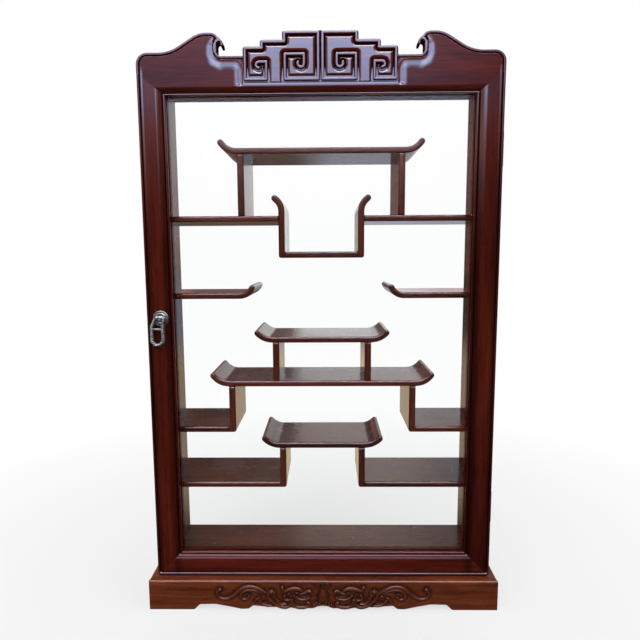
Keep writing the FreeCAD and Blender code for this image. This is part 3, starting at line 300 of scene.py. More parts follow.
class CabinetStage(bpy.types.PropertyGroup):
    """Room, light and camera."""

    floor_size: bpy.props.FloatProperty(
        name="Floor size", description="Side of the square floor", unit="LENGTH", min=1,
        default=30.0)
    room_light: bpy.props.FloatProperty(
        name="Room light", description="Level of the even light from all round", min=0,
        default=0.62)
    camera_place: bpy.props.FloatVectorProperty(
        name="Camera place", description="Where the camera stands", subtype="TRANSLATION",
        unit="LENGTH", size=3, default=(0.0080, -0.8977, 0.5810))
    camera_yaw: bpy.props.FloatProperty(
        name="Camera yaw", description="Turn of the camera about the vertical",
        subtype="ANGLE", unit="ROTATION", default=math.radians(-0.7226))
    camera_pitch: bpy.props.FloatProperty(
        name="Camera pitch", description="How far the camera looks down",
        subtype="ANGLE", unit="ROTATION", default=math.radians(6.935))
    camera_roll: bpy.props.FloatProperty(
        name="Camera roll", description="Tilt of the picture", subtype="ANGLE",
        unit="ROTATION", default=math.radians(-0.2975))
    lens: bpy.props.FloatProperty(
        name="Lens", description="Focal length on a 36 mm wide picture", subtype="DISTANCE_CAMERA",
        min=10, default=30.06)


# Node building


def rgba(colour):
    """Colour with full alpha."""
    return tuple(colour)[:3] + (1.0,)


class Nodes:
    """Short way to add linked nodes to a material's or the world's tree."""

    def __init__(self, tree):
        self.tree = tree
        tree.nodes.clear()

    def add(self, kind, settings=None, **sockets):
        """A node of a kind, with settings set and sockets given a value or a link."""
        made = self.tree.nodes.new(kind)
        for key, value in (settings or {}).items():
            setattr(made, key, value)
        for key, value in sockets.items():
            index = int(key[1:]) if key[0] == "i" and key[1:].isdigit() else None
            socket = made.inputs[index] if index is not None else made.inputs[key.replace("_", " ")]
            if isinstance(value, bpy.types.NodeSocket):
                self.tree.links.new(value, socket)
            else:
                socket.default_value = value
        return made

    def math(self, operation, a, b=0.0, c=0.0, clamp=False):
        """Result of a Math node."""
        made = self.add("ShaderNodeMath", {"operation": operation, "use_clamp": clamp},
                        i0=a, i1=b, i2=c)
        return made.outputs[0]

    def between(self, value, none, full):
        """Share of the way from one value, where it is 0, to another, where it is 1."""
        long = full - none
        return self.math("MULTIPLY_ADD", value, 1 / long, -none / long, clamp=True)

    def mix(self, share, a, b, blend="MIX"):
        """Colour mix."""
        made = self.add("ShaderNodeMix", {"data_type": "RGBA", "blend_type": blend},
                        i0=share, i6=a, i7=b)
        return made.outputs[2]

    def ramp(self, value, stops):
        """Colour ramp through (position, grey or colour) stops."""
        made = self.add("ShaderNodeValToRGB", i0=value)
        elements = made.color_ramp.elements
        while len(elements) < len(stops):
            elements.new(0.5)
        for element, (position, colour) in zip(elements, stops):
            element.position = position
            if isinstance(colour, (int, float)):
                colour = (colour, colour, colour)
            element.color = rgba(colour)
        return made.outputs[0]

    def stored(self, name, output="Fac"):
        """What a mesh keeps at each of its points under a name."""
        return self.add("ShaderNodeAttribute", {"attribute_type": "GEOMETRY",
                                                "attribute_name": name}).outputs[output]

    def line_distance(self, x, z, points):
        """Distance of a place (x, z) from a line of straight runs."""
        best = None
        for (ax, az), (bx, bz) in zip(points[:-1], points[1:]):
            dx, dz = bx - ax, bz - az
            square = dx * dx + dz * dz
            share = self.math("MULTIPLY_ADD", x, dx / square, -(ax * dx + az * dz) / square)
            share = self.math("MULTIPLY_ADD", z, dz / square, share, clamp=True)
            off_x = self.math("MULTIPLY_ADD", share, -dx, self.math("SUBTRACT", x, ax))
            off_z = self.math("MULTIPLY_ADD", share, -dz, self.math("SUBTRACT", z, az))
            far = self.math("MULTIPLY_ADD", off_x, off_x, self.math("MULTIPLY", off_z, off_z))
            best = far if best is None else self.math("MINIMUM", best, far)
        return self.math("SQRT", best)

    def noise(self, vector, scale, detail=3.0, roughness=0.5, distortion=0.0):
        """Noise value on stretched coordinates."""
        place = self.add("ShaderNodeMapping", Vector=vector, Scale=scale)
        made = self.add("ShaderNodeTexNoise", Vector=place.outputs[0], Scale=1.0, Detail=detail,
                        Roughness=roughness, Distortion=distortion)
        return made.outputs[0]


def new_material(name):
    """Empty node material."""
    material = bpy.data.materials.new(name)
    material.use_nodes = True
    return material, Nodes(material.node_tree)


def lacquered_wood(name, dark, light, gloss, coat_ior, coat_roughness, waves=0.10, worked=False):
    """Close-grained hardwood under a clear red-brown lacquer; grain runs along the board, and
    painted shade darkens it where its mesh marks it. The door's, which is worked, has a thick coat
    on its carving and in the hollows round it, and painted shade beside its stiles' mouldings."""
    material, n = new_material(name)
    where = n.stored(GRAIN, "Vector")
    figure = n.noise(where, (2.2, 26, 26), 5, 0.62, 0.7)
    fine = n.noise(where, (9, 190, 190), 4, 0.65, 0.3)
    pores = n.noise(where, (42, 900, 900), 2, 0.5)
    cloud = n.noise(where, (1.1, 4.5, 4.5), 3, 0.55)
    blend = n.math("MULTIPLY_ADD", fine, 0.45, n.math("MULTIPLY", figure, 0.62))
    tone = n.ramp(blend, [(0.36, 0.0), (0.50, 0.45), (0.66, 1.0)])
    base = n.mix(tone, rgba(dark), rgba(light))
    shade = n.ramp(cloud, [(0.30, 0.62), (0.50, 0.95), (0.70, 1.25)])
    base = n.mix(1.0, base, shade, "MULTIPLY")
    pit = n.ramp(pores, [(0.36, 0.0), (0.44, 1.0)])
    base = n.mix(n.math("MULTIPLY_ADD", pit, -0.45, 0.45), base, rgba([c * 0.35 for c in dark]))
    # The door's stiles get painted shade beside their mouldings
    if worked:
        base = n.mix(1.0, base, painted_moulding_shade(n), "MULTIPLY")
    # Painted shade: the colour goes near black where the mesh marks grooves, hollows and the
    # carving's sides
    hollow = n.stored(PAINTED_SHADE)
    base = n.mix(n.math("MULTIPLY", hollow, 0.92), base, rgba([c * 0.12 for c in dark]))
    wear = n.noise(where, (14, 24, 24), 4, 0.6)
    rough = n.math("MULTIPLY_ADD", wear, 0.16, n.math("MULTIPLY_ADD", hollow, 0.6, 0.20))
    height = n.math("MULTIPLY_ADD", pit, 0.7, n.math("MULTIPLY", fine, 0.5))
    bump = n.add("ShaderNodeBump", Strength=0.16, Distance=0.0004, Height=height)
    soft = n.noise(where, (6, 30, 30), 3, 0.5)
    coat_bump = n.add("ShaderNodeBump", Strength=waves, Distance=0.0006, Height=soft)
    coat = crest_polish(n, gloss) if worked else gloss
    shader = n.add("ShaderNodeBsdfPrincipled", Base_Color=base, Roughness=rough, IOR=1.45,
                   Specular_IOR_Level=0.03 if worked else 0.12, Coat_Weight=coat,
                   Coat_Roughness=coat_roughness, Coat_IOR=coat_ior,
                   Normal=bump.outputs[0], Coat_Normal=coat_bump.outputs[0])
    n.add("ShaderNodeOutputMaterial", Surface=shader.outputs[0])
    return material


def door_place(n):
    """Distance from the door's middle line and height, in millimetres."""
    place = n.add("ShaderNodeTexCoord").outputs["Object"]
    split = n.add("ShaderNodeSeparateXYZ", Vector=place)
    return (n.math("MULTIPLY", n.math("ABSOLUTE", split.outputs[0]), 1000),
            n.math("MULTIPLY", split.outputs[2], 1000))


def painted_moulding_shade(n):
    """Painted shade across the stiles: darkest beside their mouldings."""
    x, z = door_place(n)
    tone = n.ramp(n.between(x, 230, 280), [
        (0.0, 1.0), (0.15, 0.5), (0.26, 0.5), (0.36, 0.95), (0.42, 1.1), (0.66, 1.1), (0.73, 0.6),
        (0.79, 0.55), (0.84, 0.8), (1.0, 0.8)])
    return n.mix(n.between(z, 830, 810), (1, 1, 1, 1), tone)


def crest_polish(n, plain):
    """Coat weight on the door: full on the fret, beads and rubbed hollows and on the edge of the
    field, thin elsewhere and none in the grooves."""
    x, z = door_place(n)
    scoop = n.between(n.line_distance(x, z, GLOW_LINE), 11, 5.5)
    ledge = n.between(n.math("ABSOLUTE", n.math("SUBTRACT", x, LEDGE_MIDDLE)), 12.8, 4.8)
    scoop = n.math("MULTIPLY", scoop, n.math("MULTIPLY_ADD", ledge, -0.45, 1.0))
    foot = n.between(n.line_distance(x, z, FOOT_LINE), 6.5, 2.5)
    glow = n.math("MAXIMUM", scoop, foot)
    glow = n.math("MULTIPLY", glow, glow)
    edge = n.between(n.math("ABSOLUTE", n.math("SUBTRACT", x, FIELD_EDGE)), 7 / 3, 2 / 3)
    edge = n.math("MULTIPLY", edge, n.between(z, 862.5, 850))
    coat = n.math("MAXIMUM", n.math("MAXIMUM", glow, edge), n.stored(POLISH))
    coat = n.math("MAXIMUM", coat, plain)
    return n.math("MULTIPLY", coat, n.math("SUBTRACT", 1, n.stored(PAINTED_SHADE), clamp=True))


def clear_glass(name, tint):
    """Thin clear pane that lets light and shadow rays through and shines at slanting angles."""
    material, n = new_material(name)
    place = n.add("ShaderNodeTexCoord").outputs["Object"]
    smear = n.noise(place, (5, 5, 9), 3, 0.6)
    rough = n.math("MULTIPLY", smear, 0.05)
    through = n.add("ShaderNodeBsdfTransparent", Color=rgba(tint))
    shine = n.add("ShaderNodeBsdfGlossy", Color=(1, 1, 1, 1), Roughness=rough)
    facing = n.add("ShaderNodeLayerWeight", Blend=0.5).outputs["Facing"]
    straight_on, slanting = 0.0043, 0.9
    edge = n.math("MULTIPLY_ADD", n.math("POWER", facing, 5.0), slanting, straight_on)
    both = n.add("ShaderNodeMixShader", i0=edge, i1=through.outputs[0], i2=shine.outputs[0])
    n.add("ShaderNodeOutputMaterial", Surface=both.outputs[0])
    return material


def worn_metal(name, colour, dull, scale):
    """Old cast metal with dull patches."""
    material, n = new_material(name)
    place = n.add("ShaderNodeTexCoord").outputs["Object"]
    patches = n.noise(place, (scale, scale, scale), 5, 0.65)
    mask = n.ramp(patches, [(0.38, 0.0), (0.62, 1.0)])
    base = n.mix(mask, rgba(dull), rgba(colour))
    rough = n.math("MULTIPLY_ADD", patches, -0.25, 0.70)
    grit = n.noise(place, (scale * 9, scale * 9, scale * 9), 3, 0.6)
    bump = n.add("ShaderNodeBump", Strength=0.25, Distance=0.0003, Height=grit)
    shader = n.add("ShaderNodeBsdfPrincipled", Base_Color=base, Roughness=rough, Metallic=1.0,
                   Normal=bump.outputs[0])
    n.add("ShaderNodeOutputMaterial", Surface=shader.outputs[0])
    return material


# Meshes


def finish_mesh(bm, name, material, angle=SMOOTH_ANGLE):
    """Object at the origin from a bmesh, smooth where its faces meet at less than the angle."""
    mesh = bpy.data.meshes.new(name)
    bm.to_mesh(mesh)
    bm.free()
    for stale in ("custom_normal", "sharp_face", "sharp_edge"):
        if stale in mesh.attributes:
            mesh.attributes.remove(mesh.attributes[stale])
    mesh.materials.append(material)
    mesh.shade_smooth()
    mesh.set_sharp_from_angle(angle=angle)
    piece = bpy.data.objects.new(name, mesh)
    bpy.context.scene.collection.objects.link(piece)
    return piece


def weigh_normals(piece):
    """Keeps big flat faces flat beside their rounded edges."""
    steady = piece.modifiers.new("steady_normals", "WEIGHTED_NORMAL")
    steady.mode = "FACE_AREA"
    steady.keep_sharp = True


def grain_along(mesh, along, seed):
    """Stores each point's place in its board, along, across and through, from its own start."""
    order = {"x": (0, 2, 1), "y": (1, 2, 0), "z": (2, 0, 1)}[along]
    pick = random.Random(seed)
    start = [pick.uniform(0, 40) for _ in order]
    attribute = mesh.attributes.new(GRAIN, "FLOAT_VECTOR", "POINT")
    values = []
    for vertex in mesh.vertices:
        values += [vertex.co[axis] + start[i] for i, axis in enumerate(order)]
    attribute.data.foreach_set("vector", values)


def merged_bmesh(node):
    """Copy of a CAD node's mesh with its loose triangles joined."""
    bm = bmesh.new()
    bm.from_mesh(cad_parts[node].data)
    bmesh.ops.remove_doubles(bm, verts=bm.verts, dist=MERGE)
    bmesh.ops.dissolve_limit(bm, angle_limit=FLAT_ANGLE, verts=bm.verts, edges=bm.edges)
    return bm


def front_places(mesh):
    """For a mesh's points: distance from the middle line, depth below the door's front, height."""
    points = np.array([v.co for v in mesh.vertices]) / MM
    return np.abs(points[:, 0]), points[:, 1] - DOOR_FRONT, points[:, 2]


def mark_mouldings(mesh):
    """On the door's frame, marks the points that lie in a groove, where shade is painted, and how
    polished each is.
    """
    x, depth, z = front_places(mesh)
    outer = (x > DOOR_HALF - EDGE_WIDTH) | (z > GROOVE_FROM) | (z < DOOR_FOOT_EDGE)
    at_edge, inside = (abs(depth - groove) < GROOVE_SPREAD for groove in GROOVES)
    groove = at_edge & outer | inside
    bead, sight = ((depth > top) & (depth < foot) for top, foot in (EDGE_BEAD, SIGHT_BEADS))
    bead = (bead & outer) * np.where(z > GROOVE_FROM, 0.55, 1)
    sight = sight & ~outer & (z > SIGHT_BEADS_FROM)
    for name, values in ((PAINTED_SHADE, groove), (POLISH, bead + 0.9 * sight)):
        mark = mesh.attributes.new(name, "FLOAT", "POINT")
        mark.data.foreach_set("value", values.astype(float))


def board_copy(node, along, body, material, seed):
    """Smooth copy of a wooden CAD node that stands for it."""
    piece = finish_mesh(merged_bmesh(node), "wood_" + node, material)
    if body == "door" and "strip" not in node:
        mark_mouldings(piece.data)
    grain_along(piece.data, along, seed)
    weigh_normals(piece)
    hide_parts(node)
    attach(piece, body)


def wood_materials():
    """The lacquered woods, made once."""
    finish = bpy.context.scene.cabinet_finish
    door = (finish.door_dark, finish.door_light)
    case = (finish.case_dark, finish.case_light)
    plinth = (finish.plinth_dark, finish.plinth_light)
    # Colours and how light they are, then the coat's weight, index, roughness and waves, and
    # whether the wood is worked. The crest's wood is made lighter, as painted light from above, and
    # the top boards' darker, as painted shade
    kinds = {
        "door_wood": (door, 1, 0.19, 1.52, 0.09, 0.10, True),
        "painted_lit_crest_wood": (door, 1.2, 0.10, 1.52, 0.09, 0.10, True),
        "case_wood": (case, 1, 0.7, 1.33, 0.12),
        "painted_shade_top_wood": (case, 0.6, 0.03, 1.33, 0.2, 0.02),
        "shelf_wood": (case, 1, finish.gloss, 1.36, 0.08, 0.05),
        "plinth_wood": (plinth, 1, 0.5, 1.25, 0.24),
    }
    made = {}
    for slot, (colours, level, *coat) in kinds.items():
        name = "lacquered_" + slot
        dark, light = ([c * level for c in colour] for colour in colours)
        made[slot] = bpy.data.materials.get(name) or lacquered_wood(name, dark, light, *coat)
    return made


# Carved faces


def step(edge0, edge1, value):
    """Smooth rise from 0 to 1 between two edges."""
    t = np.clip((value - edge0) / (edge1 - edge0), 0, 1)
    return t * t * (3 - 2 * t)


def smooth_line(points, spacing=0.5):
    """Closely spaced points on a smooth line through all the given ones."""
    knots = np.array(points, float)
    knots = np.vstack([2 * knots[0] - knots[1], knots, 2 * knots[-1] - knots[-2]])
    line = []
    for a, b, c, d in zip(knots[:-3], knots[1:-2], knots[2:-1], knots[3:]):
        count = max(1, int(np.hypot(*(c - b)[:2]) / spacing))
        for t in np.arange(count) / count:
            line.append(0.5 * (2 * b + (c - a) * t + (2 * a - 5 * b + 4 * c - d) * t ** 2
                               + (3 * b - a - 3 * c + d) * t ** 3))
    line.append(knots[-2])
    return np.array(line)


def rounded_corners(points, spacing=0.4):
    """Points on straight runs joined by arcs, from corners (x, z, radius)."""
    out = [points[0][:2]]
    for before, (x, z, radius), after in zip(points[:-2], points[1:-1], points[2:]):
        corner = Vector((x, z))
        way_in = (Vector(before[:2]) - corner).normalized()
        way_out = (Vector(after[:2]) - corner).normalized()
        turn = math.pi - way_in.angle(way_out)
        centre = corner + (way_in + way_out).normalized() * radius / math.cos(turn / 2)
        start = corner + way_in * radius * math.tan(turn / 2) - centre
        end = corner + way_out * radius * math.tan(turn / 2) - centre
        count = max(1, int(turn * radius / spacing))
        for i in range(count + 1):
            t = i / count
            out.append(tuple(centre + (math.sin((1 - t) * turn) * start
                                       + math.sin(t * turn) * end) / math.sin(turn)))
    out.append(points[-1][:2])
    return np.array(out)


def line_normals(line, size=1.0):
    """Steps to the left of a line's way, one for each of its points."""
    way = np.gradient(line, axis=0)
    way /= np.hypot(*way.T)[:, None]
    return size * np.stack([-way[:, 1], way[:, 0]], axis=1)


def edge_distance(x, z, points):
    """Distance from places to a line of straight runs."""
    best = np.full(x.shape, 1e9)
    for (ax, az), (bx, bz) in zip(points[:-1], points[1:]):
        dx, dz = bx - ax, bz - az
        t = np.clip(((x - ax) * dx + (z - az) * dz) / (dx * dx + dz * dz), 0, 1)
        best = np.minimum(best, np.hypot(x - ax - t * dx, z - az - t * dz))
    return best


def strand_distance(x, z, line):
    """For places: distance outside the nearest round of a strand, and that round's radius."""
    gap = np.full(x.shape, 1e9)
    radius = np.ones(x.shape)
    for px, pz, r in line:
        d = np.hypot(x - px, z - pz) - r
        nearer = d < gap
        gap = np.where(nearer, d, gap)
        radius = np.where(nearer, r, radius)
    return gap, radius


def apron_relief(x, z):
    """Height of the apron's carving above the board, in millimetres, and how dark each place is:
    painted shade in its hollows and grooves and on the sides of its strands and vase, and a
    darker ground near the carving.
    """
    side = np.abs(x)
    nearest = np.full(x.shape, 1e9)
    worked = []
    for kind, points in STRANDS:
        gap, radius = strand_distance(side, z, smooth_line(points))
        worked.append((kind, gap, radius))
        nearest = np.minimum(nearest, gap)
    lip = np.interp(z, [row[0] for row in VASE], [row[1] for row in VASE])
    inside = (z > VASE[0][0]) & (z < VASE[-1][0])
    vase_gap = np.where(inside, side - lip, 9.0)
    nearest = np.minimum(nearest, vase_gap)
    height = APRON_GROUND * step(6.5, 1.0, nearest)
    shade = 0.62 * step(6.0, 0.6, nearest)
    for kind, gap, radius in worked:
        within = np.clip(1 - (np.clip(gap + radius, 0, None) / radius) ** 2, 0, 1)
        if kind == "hollow":
            height -= HOLLOW_DEPTH * within
            # Painted shade in the hollow
            shade = np.maximum(shade, np.sqrt(within))
            continue
        top = STRAND_TOP if kind == "strand" else KNOB_TOP
        top = top * np.minimum(1, (radius / FULL_STRAND) ** 0.5)
        body = APRON_GROUND + (top - APRON_GROUND) * np.sqrt(within)
        beside = np.clip(1 - gap / BESIDE_STRAND, 0, 1) * (gap > 0)
        height = np.where(gap < 0, np.maximum(body, 0.4 * height + 0.6 * body),
                          height - BESIDE_DEPTH * beside)
        # Painted shade on the strand's sides and in the groove beside it
        shade = np.where(gap < 0, 0.18 + 0.75 * (1 - within) ** 1.5, np.maximum(shade, beside))
    bulge = np.clip(1 - (side / lip) ** 2, 0, 1)
    flute = VASE_FLUTE * np.cos(side * FLUTE_TURN)
    vase = APRON_GROUND + VASE_TOP * np.sqrt(bulge) + flute * (z < FLUTE_END)
    height = np.where(vase_gap < 0, vase, height)
    # Painted shade on the vase's sides
    shade = np.where(vase_gap < 0, 0.9 * (1 - bulge) ** 1.3, shade)
    beside = np.clip(1 - vase_gap / BESIDE_VASE, 0, 1) * (vase_gap > 0)
    return np.clip(height - BESIDE_DEPTH * beside, *APRON_LIMITS), np.maximum(shade, beside)


def fret_outline(x, z):
    """Distance outside the stepped outline of the fret block, negative inside."""
    best = np.full(x.shape, 1e9)
    for half, top in FRET_STEPS:
        middle, tall = (top + FRET_FOOT) / 2, (top - FRET_FOOT) / 2
        out_x = np.abs(x) - (half - FRET_ROUNDING)
        out_z = np.abs(z - middle) - (tall - FRET_ROUNDING)
        away = (np.hypot(np.maximum(out_x, 0), np.maximum(out_z, 0))
                + np.minimum(np.maximum(out_x, out_z), 0) - FRET_ROUNDING)
        best = np.minimum(best, away)
    return best


def fret_relief(x, z):
    """Height of the fret above the flat of the crest, in millimetres, and the painted shade there,
    on the rib's lower sides, the groove and the pad's foot.
    """
    away = edge_distance(np.abs(x), z, FRET_RIB)
    shoulder, foot = RIB_EDGE
    rib = step(foot, shoulder, away) * (RIB_TOP - FRET_GROUND)
    low, high = PAD_EDGE
    slope = np.clip((away - low) / (high - low), 0, 1)
    pad = (0.6 * slope + 0.4 * step(low, high, away)) * (PAD_TOP - FRET_GROUND)
    start, dark, fading, end = FRET_SHADE
    shade = np.minimum(step(start, dark, away), step(end, fading, away))
    return FRET_GROUND + rib + pad, shade


def lifted_grid(columns, rows, place):
    """Grid whose points are put where a function says, from their column and row shares."""
    bm = bmesh.new()
    bmesh.ops.create_grid(bm, x_segments=columns, y_segments=rows, size=1)
    bm.verts.ensure_lookup_table()
    shares = np.array([(v.co.x, v.co.y) for v in bm.verts]) / 2 + 0.5
    points = place(shares[:, 0], shares[:, 1])
    for vertex, point in zip(bm.verts, points):
        vertex.co = point
    return bm


def store(bm, name, values):
    """Keeps one number for each point."""
    layer = bm.verts.layers.float.new(name)
    for vertex, value in zip(bm.verts, values):
        vertex[layer] = value


def backed(bm, y):
    """Gives an open carved face its edges and a back at depth y."""
    rim = [e for e in bm.edges if e.is_boundary]
    made = bmesh.ops.extrude_edge_only(bm, edges=rim)["geom"]
    for vertex in (g for g in made if isinstance(g, bmesh.types.BMVert)):
        vertex.co.y = y
    back = [g for g in made if isinstance(g, bmesh.types.BMEdge) and g.is_boundary]
    bmesh.ops.edgeloop_fill(bm, edges=back)
    bmesh.ops.recalc_face_normals(bm, faces=bm.faces)


class CABINET_OT_stage(bpy.types.Operator):
    """Lays the pale floor, lights the room and stands the camera where the picture was taken"""

    bl_idname = "cabinet.stage"
    bl_label = "Stage"

    def execute(self, context):
        stage = context.scene.cabinet_stage
        context.scene.view_settings.view_transform = "Standard"
        self.floor(stage.floor_size)
        self.room(context.scene, stage.room_light)
        self.lamps()
        self.camera(context.scene, stage)
        return {"FINISHED"}

    def floor(self, size):
        """Pale floor, white far off. To glossy rays it glows as a painted reflection of a room:
        dark in front and warm behind.
        """
        bm = bmesh.new()
        bmesh.ops.create_grid(bm, x_segments=1, y_segments=1, size=size / 2)
        material, n = new_material("pale_floor")
        place = n.add("ShaderNodeTexCoord").outputs["Object"]
        split = n.add("ShaderNodeSeparateXYZ", Vector=place)
        away = n.add("ShaderNodeVectorMath", {"operation": "LENGTH"}, i0=place).outputs["Value"]
        far = n.math("MULTIPLY_ADD", away, 0.35, 0.62, clamp=True)
        ray = n.add("ShaderNodeLightPath")
        seen = n.math("MAXIMUM", ray.outputs["Is Camera Ray"], ray.outputs["Is Transmission Ray"])
        seen = n.math("MAXIMUM", n.math("MULTIPLY", seen, far), ray.outputs["Is Glossy Ray"])
        lit = n.add("ShaderNodeBsdfDiffuse", Color=(0.58, 0.57, 0.56, 1))
        x, y = split.outputs[:2]
        side = n.math("MULTIPLY_ADD", x, 3.0, 0.8, clamp=True)
        distant = n.mix(side, (0.09, 0.07, 0.055, 1), (0.42, 0.46, 0.56, 1))
        back = n.mix(n.between(y, 2, 3), (0.72, 0.56, 0.41, 1), distant)
        mirrored = n.mix(n.between(y, 0.15, 0.4), (0.05, 0.035, 0.03, 1), back)
        shown = n.mix(ray.outputs["Is Glossy Ray"], (1, 1, 1, 1), mirrored)
        white = n.add("ShaderNodeEmission", Color=shown, Strength=1.0)
        both = n.add("ShaderNodeMixShader", i0=seen, i1=lit.outputs[0], i2=white.outputs[0])
        n.add("ShaderNodeOutputMaterial", Surface=both.outputs[0])
        floor = finish_mesh(bm, "floor", material)

    def room(self, scene, level):
        """World: white behind the object, an even light, and a room with a window and pale and
        brown walls that only the lacquer, glass and metal show."""
        world = bpy.data.worlds.new("room")
        scene.world = world
        world.use_nodes = True
        n = Nodes(world.node_tree)
        way = n.add("ShaderNodeTexCoord").outputs["Generated"]
        split = n.add("ShaderNodeSeparateXYZ", Vector=way)
        x, y, z = split.outputs
        height = n.math("MULTIPLY_ADD", z, 0.5, 0.5)
        # In front, by height: plain wall with a window in its middle
        ground = [(0.00, (0.05, 0.04, 0.035)), (0.52, (0.07, 0.05, 0.045)),
                  (0.56, (0.8, 0.45, 0.45))]
        ceiling = [(0.86, (2.0, 2.0, 2.5)), (0.89, (12, 12.5, 15.5)), (1.00, (26, 27, 32))]
        dim = n.ramp(height, ground + [
            (0.60, (2.4, 1.3, 1.4)), (0.65, (1.1, 0.8, 0.9)), (0.82, (0.8, 0.7, 0.8))] + ceiling)
        window = n.ramp(height, ground + [
            (0.605, (3.0, 1.8, 1.9)), (0.63, (4.0, 4.8, 7.6)), (0.67, (5.0, 6.6, 10.8)),
            (0.72, (8.0, 11.5, 18.0)), (0.76, (3.0, 4.0, 6.0)), (0.79, (0.9, 0.8, 1.0))] + ceiling)
        front = n.mix(n.between(n.math("ABSOLUTE", x), 0.6, 0.35), dim, window)
        # Its right side is browner below the ceiling
        shaded = n.ramp(n.between(x, 0.1, 0.35), [(0.2, 1.0), (0.8, (0.45, 0.26, 0.22))])
        front = n.mix(n.math("LESS_THAN", height, 0.8), front,
                      n.mix(1.0, front, shaded, "MULTIPLY"))
        # Behind, by height: brown on the left and pale on the right, other near the middle
        left = n.ramp(height, [
            (0.39, (0.76, 0.54, 0.40)), (0.50, (0.28, 0.11, 0.09)), (0.59, (0.6, 0.28, 0.25)),
            (0.65, (0.22, 0.13, 0.10)), (0.75, (0.3, 0.2, 0.18))])
        near_left = n.ramp(height, [
            (0.50, (0.24, 0.13, 0.11)), (0.58, (0.17, 0.115, 0.11)), (0.61, (0.13, 0.095, 0.09)),
            (0.66, (0.10, 0.07, 0.06)), (0.71, (0.34, 0.20, 0.13)), (0.76, (0.62, 0.43, 0.34))])
        right = n.ramp(height, [
            (0.39, (0.74, 0.54, 0.40)), (0.46, (0.30, 0.15, 0.15)), (0.53, (0.8, 0.62, 0.62)),
            (0.61, (0.90, 0.88, 0.88)), (0.65, (0.58, 0.56, 0.58))])
        near_right = n.ramp(height, [
            (0.57, (1.0, 1.0, 1.0)), (0.61, (0.80, 0.80, 0.82)), (0.655, (0.94, 0.79, 0.77)),
            (0.76, (1.35, 1.12, 1.02))])
        left = n.mix(n.between(x, -0.235, -0.255), near_left, left)
        right = n.mix(n.between(x, 0.11, 0.21), near_right, right)
        back = n.mix(n.between(x, -0.0675, -0.0425), left, right)
        mirror = n.mix(n.math("MULTIPLY_ADD", y, 2.2, 0.35, clamp=True), front, back)
        ray = n.add("ShaderNodeLightPath")
        seen = n.math("MAXIMUM", ray.outputs["Is Camera Ray"], ray.outputs["Is Transmission Ray"])
        base = n.mix(ray.outputs["Is Glossy Ray"], (level, level, level, 1), mirror)
        colour = n.mix(seen, base, (1, 1, 1, 1))
        light = n.add("ShaderNodeBackground", Color=colour, Strength=1.0)
        n.add("ShaderNodeOutputWorld", Surface=light.outputs[0])

    def lamps(self):
        """Two big soft lamps, of which the lacquer shows nothing."""
        for name, place, size, watts in (("key", (-0.9, -1.6, 2.3), 1.6, 34.0),
                                         ("fill", (1.4, -0.8, 1.9), 1.4, 16.0)):
            lamp = bpy.data.lights.new(name, "AREA")
            lamp.shape = "SQUARE"
            lamp.size = size
            lamp.energy = watts
            lamp.color = (0.93, 0.97, 1.0)
            holder = bpy.data.objects.new(name, lamp)
            holder.location = place
            holder.visible_glossy = False
            aim = Vector((0, 0, 0.45)) - Vector(place)
            holder.rotation_euler = aim.to_track_quat("-Z", "Y").to_euler()
            bpy.context.scene.collection.objects.link(holder)

    def camera(self, scene, stage):
        """Camera turned by its yaw, pitch and roll."""
        data = bpy.data.cameras.new("camera")
        data.lens = stage.lens
        data.sensor_fit = "HORIZONTAL"
        data.sensor_width = 36
        yaw, pitch, roll = stage.camera_yaw, stage.camera_pitch, stage.camera_roll
        ahead = Vector((math.sin(yaw) * math.cos(pitch), math.cos(yaw) * math.cos(pitch),
                        -math.sin(pitch)))
        right = Vector((math.cos(yaw), -math.sin(yaw), 0))
        up = right.cross(ahead)
        across = math.cos(roll) * right + math.sin(roll) * up
        over = -math.sin(roll) * right + math.cos(roll) * up
        turn = Matrix((across, over, -ahead)).transposed().to_4x4()
        camera = bpy.data.objects.new("camera", data)
        camera.matrix_world = Matrix.Translation(stage.camera_place) @ turn
        scene.collection.objects.link(camera)
        scene.camera = camera


class CABINET_OT_case(bpy.types.Operator):
    """Dresses the plinth, case and shelves in lacquered wood"""

    bl_idname = "cabinet.case"
    bl_label = "Case and shelves"

    def execute(self, context):
        woods = wood_materials()
        for seed, (node, along) in enumerate(CABINET_BOARDS.items()):
            wood = woods["painted_shade_top_wood" if node in UNSEEN_TOP else slot_of(node)]
            board_copy(node, along, "cabinet", wood, seed)
        return {"FINISHED"}


class CABINET_OT_door(bpy.types.Operator):
    """Dresses the door frame and its crest in lacquered wood"""

    bl_idname = "cabinet.door"
    bl_label = "Door frame"

    def execute(self, context):
        woods = wood_materials()
        for seed, (node, along) in enumerate(DOOR_BOARDS.items()):
            board_copy(node, along, "door", woods["door_wood"], 100 + seed)
        return {"FINISHED"}


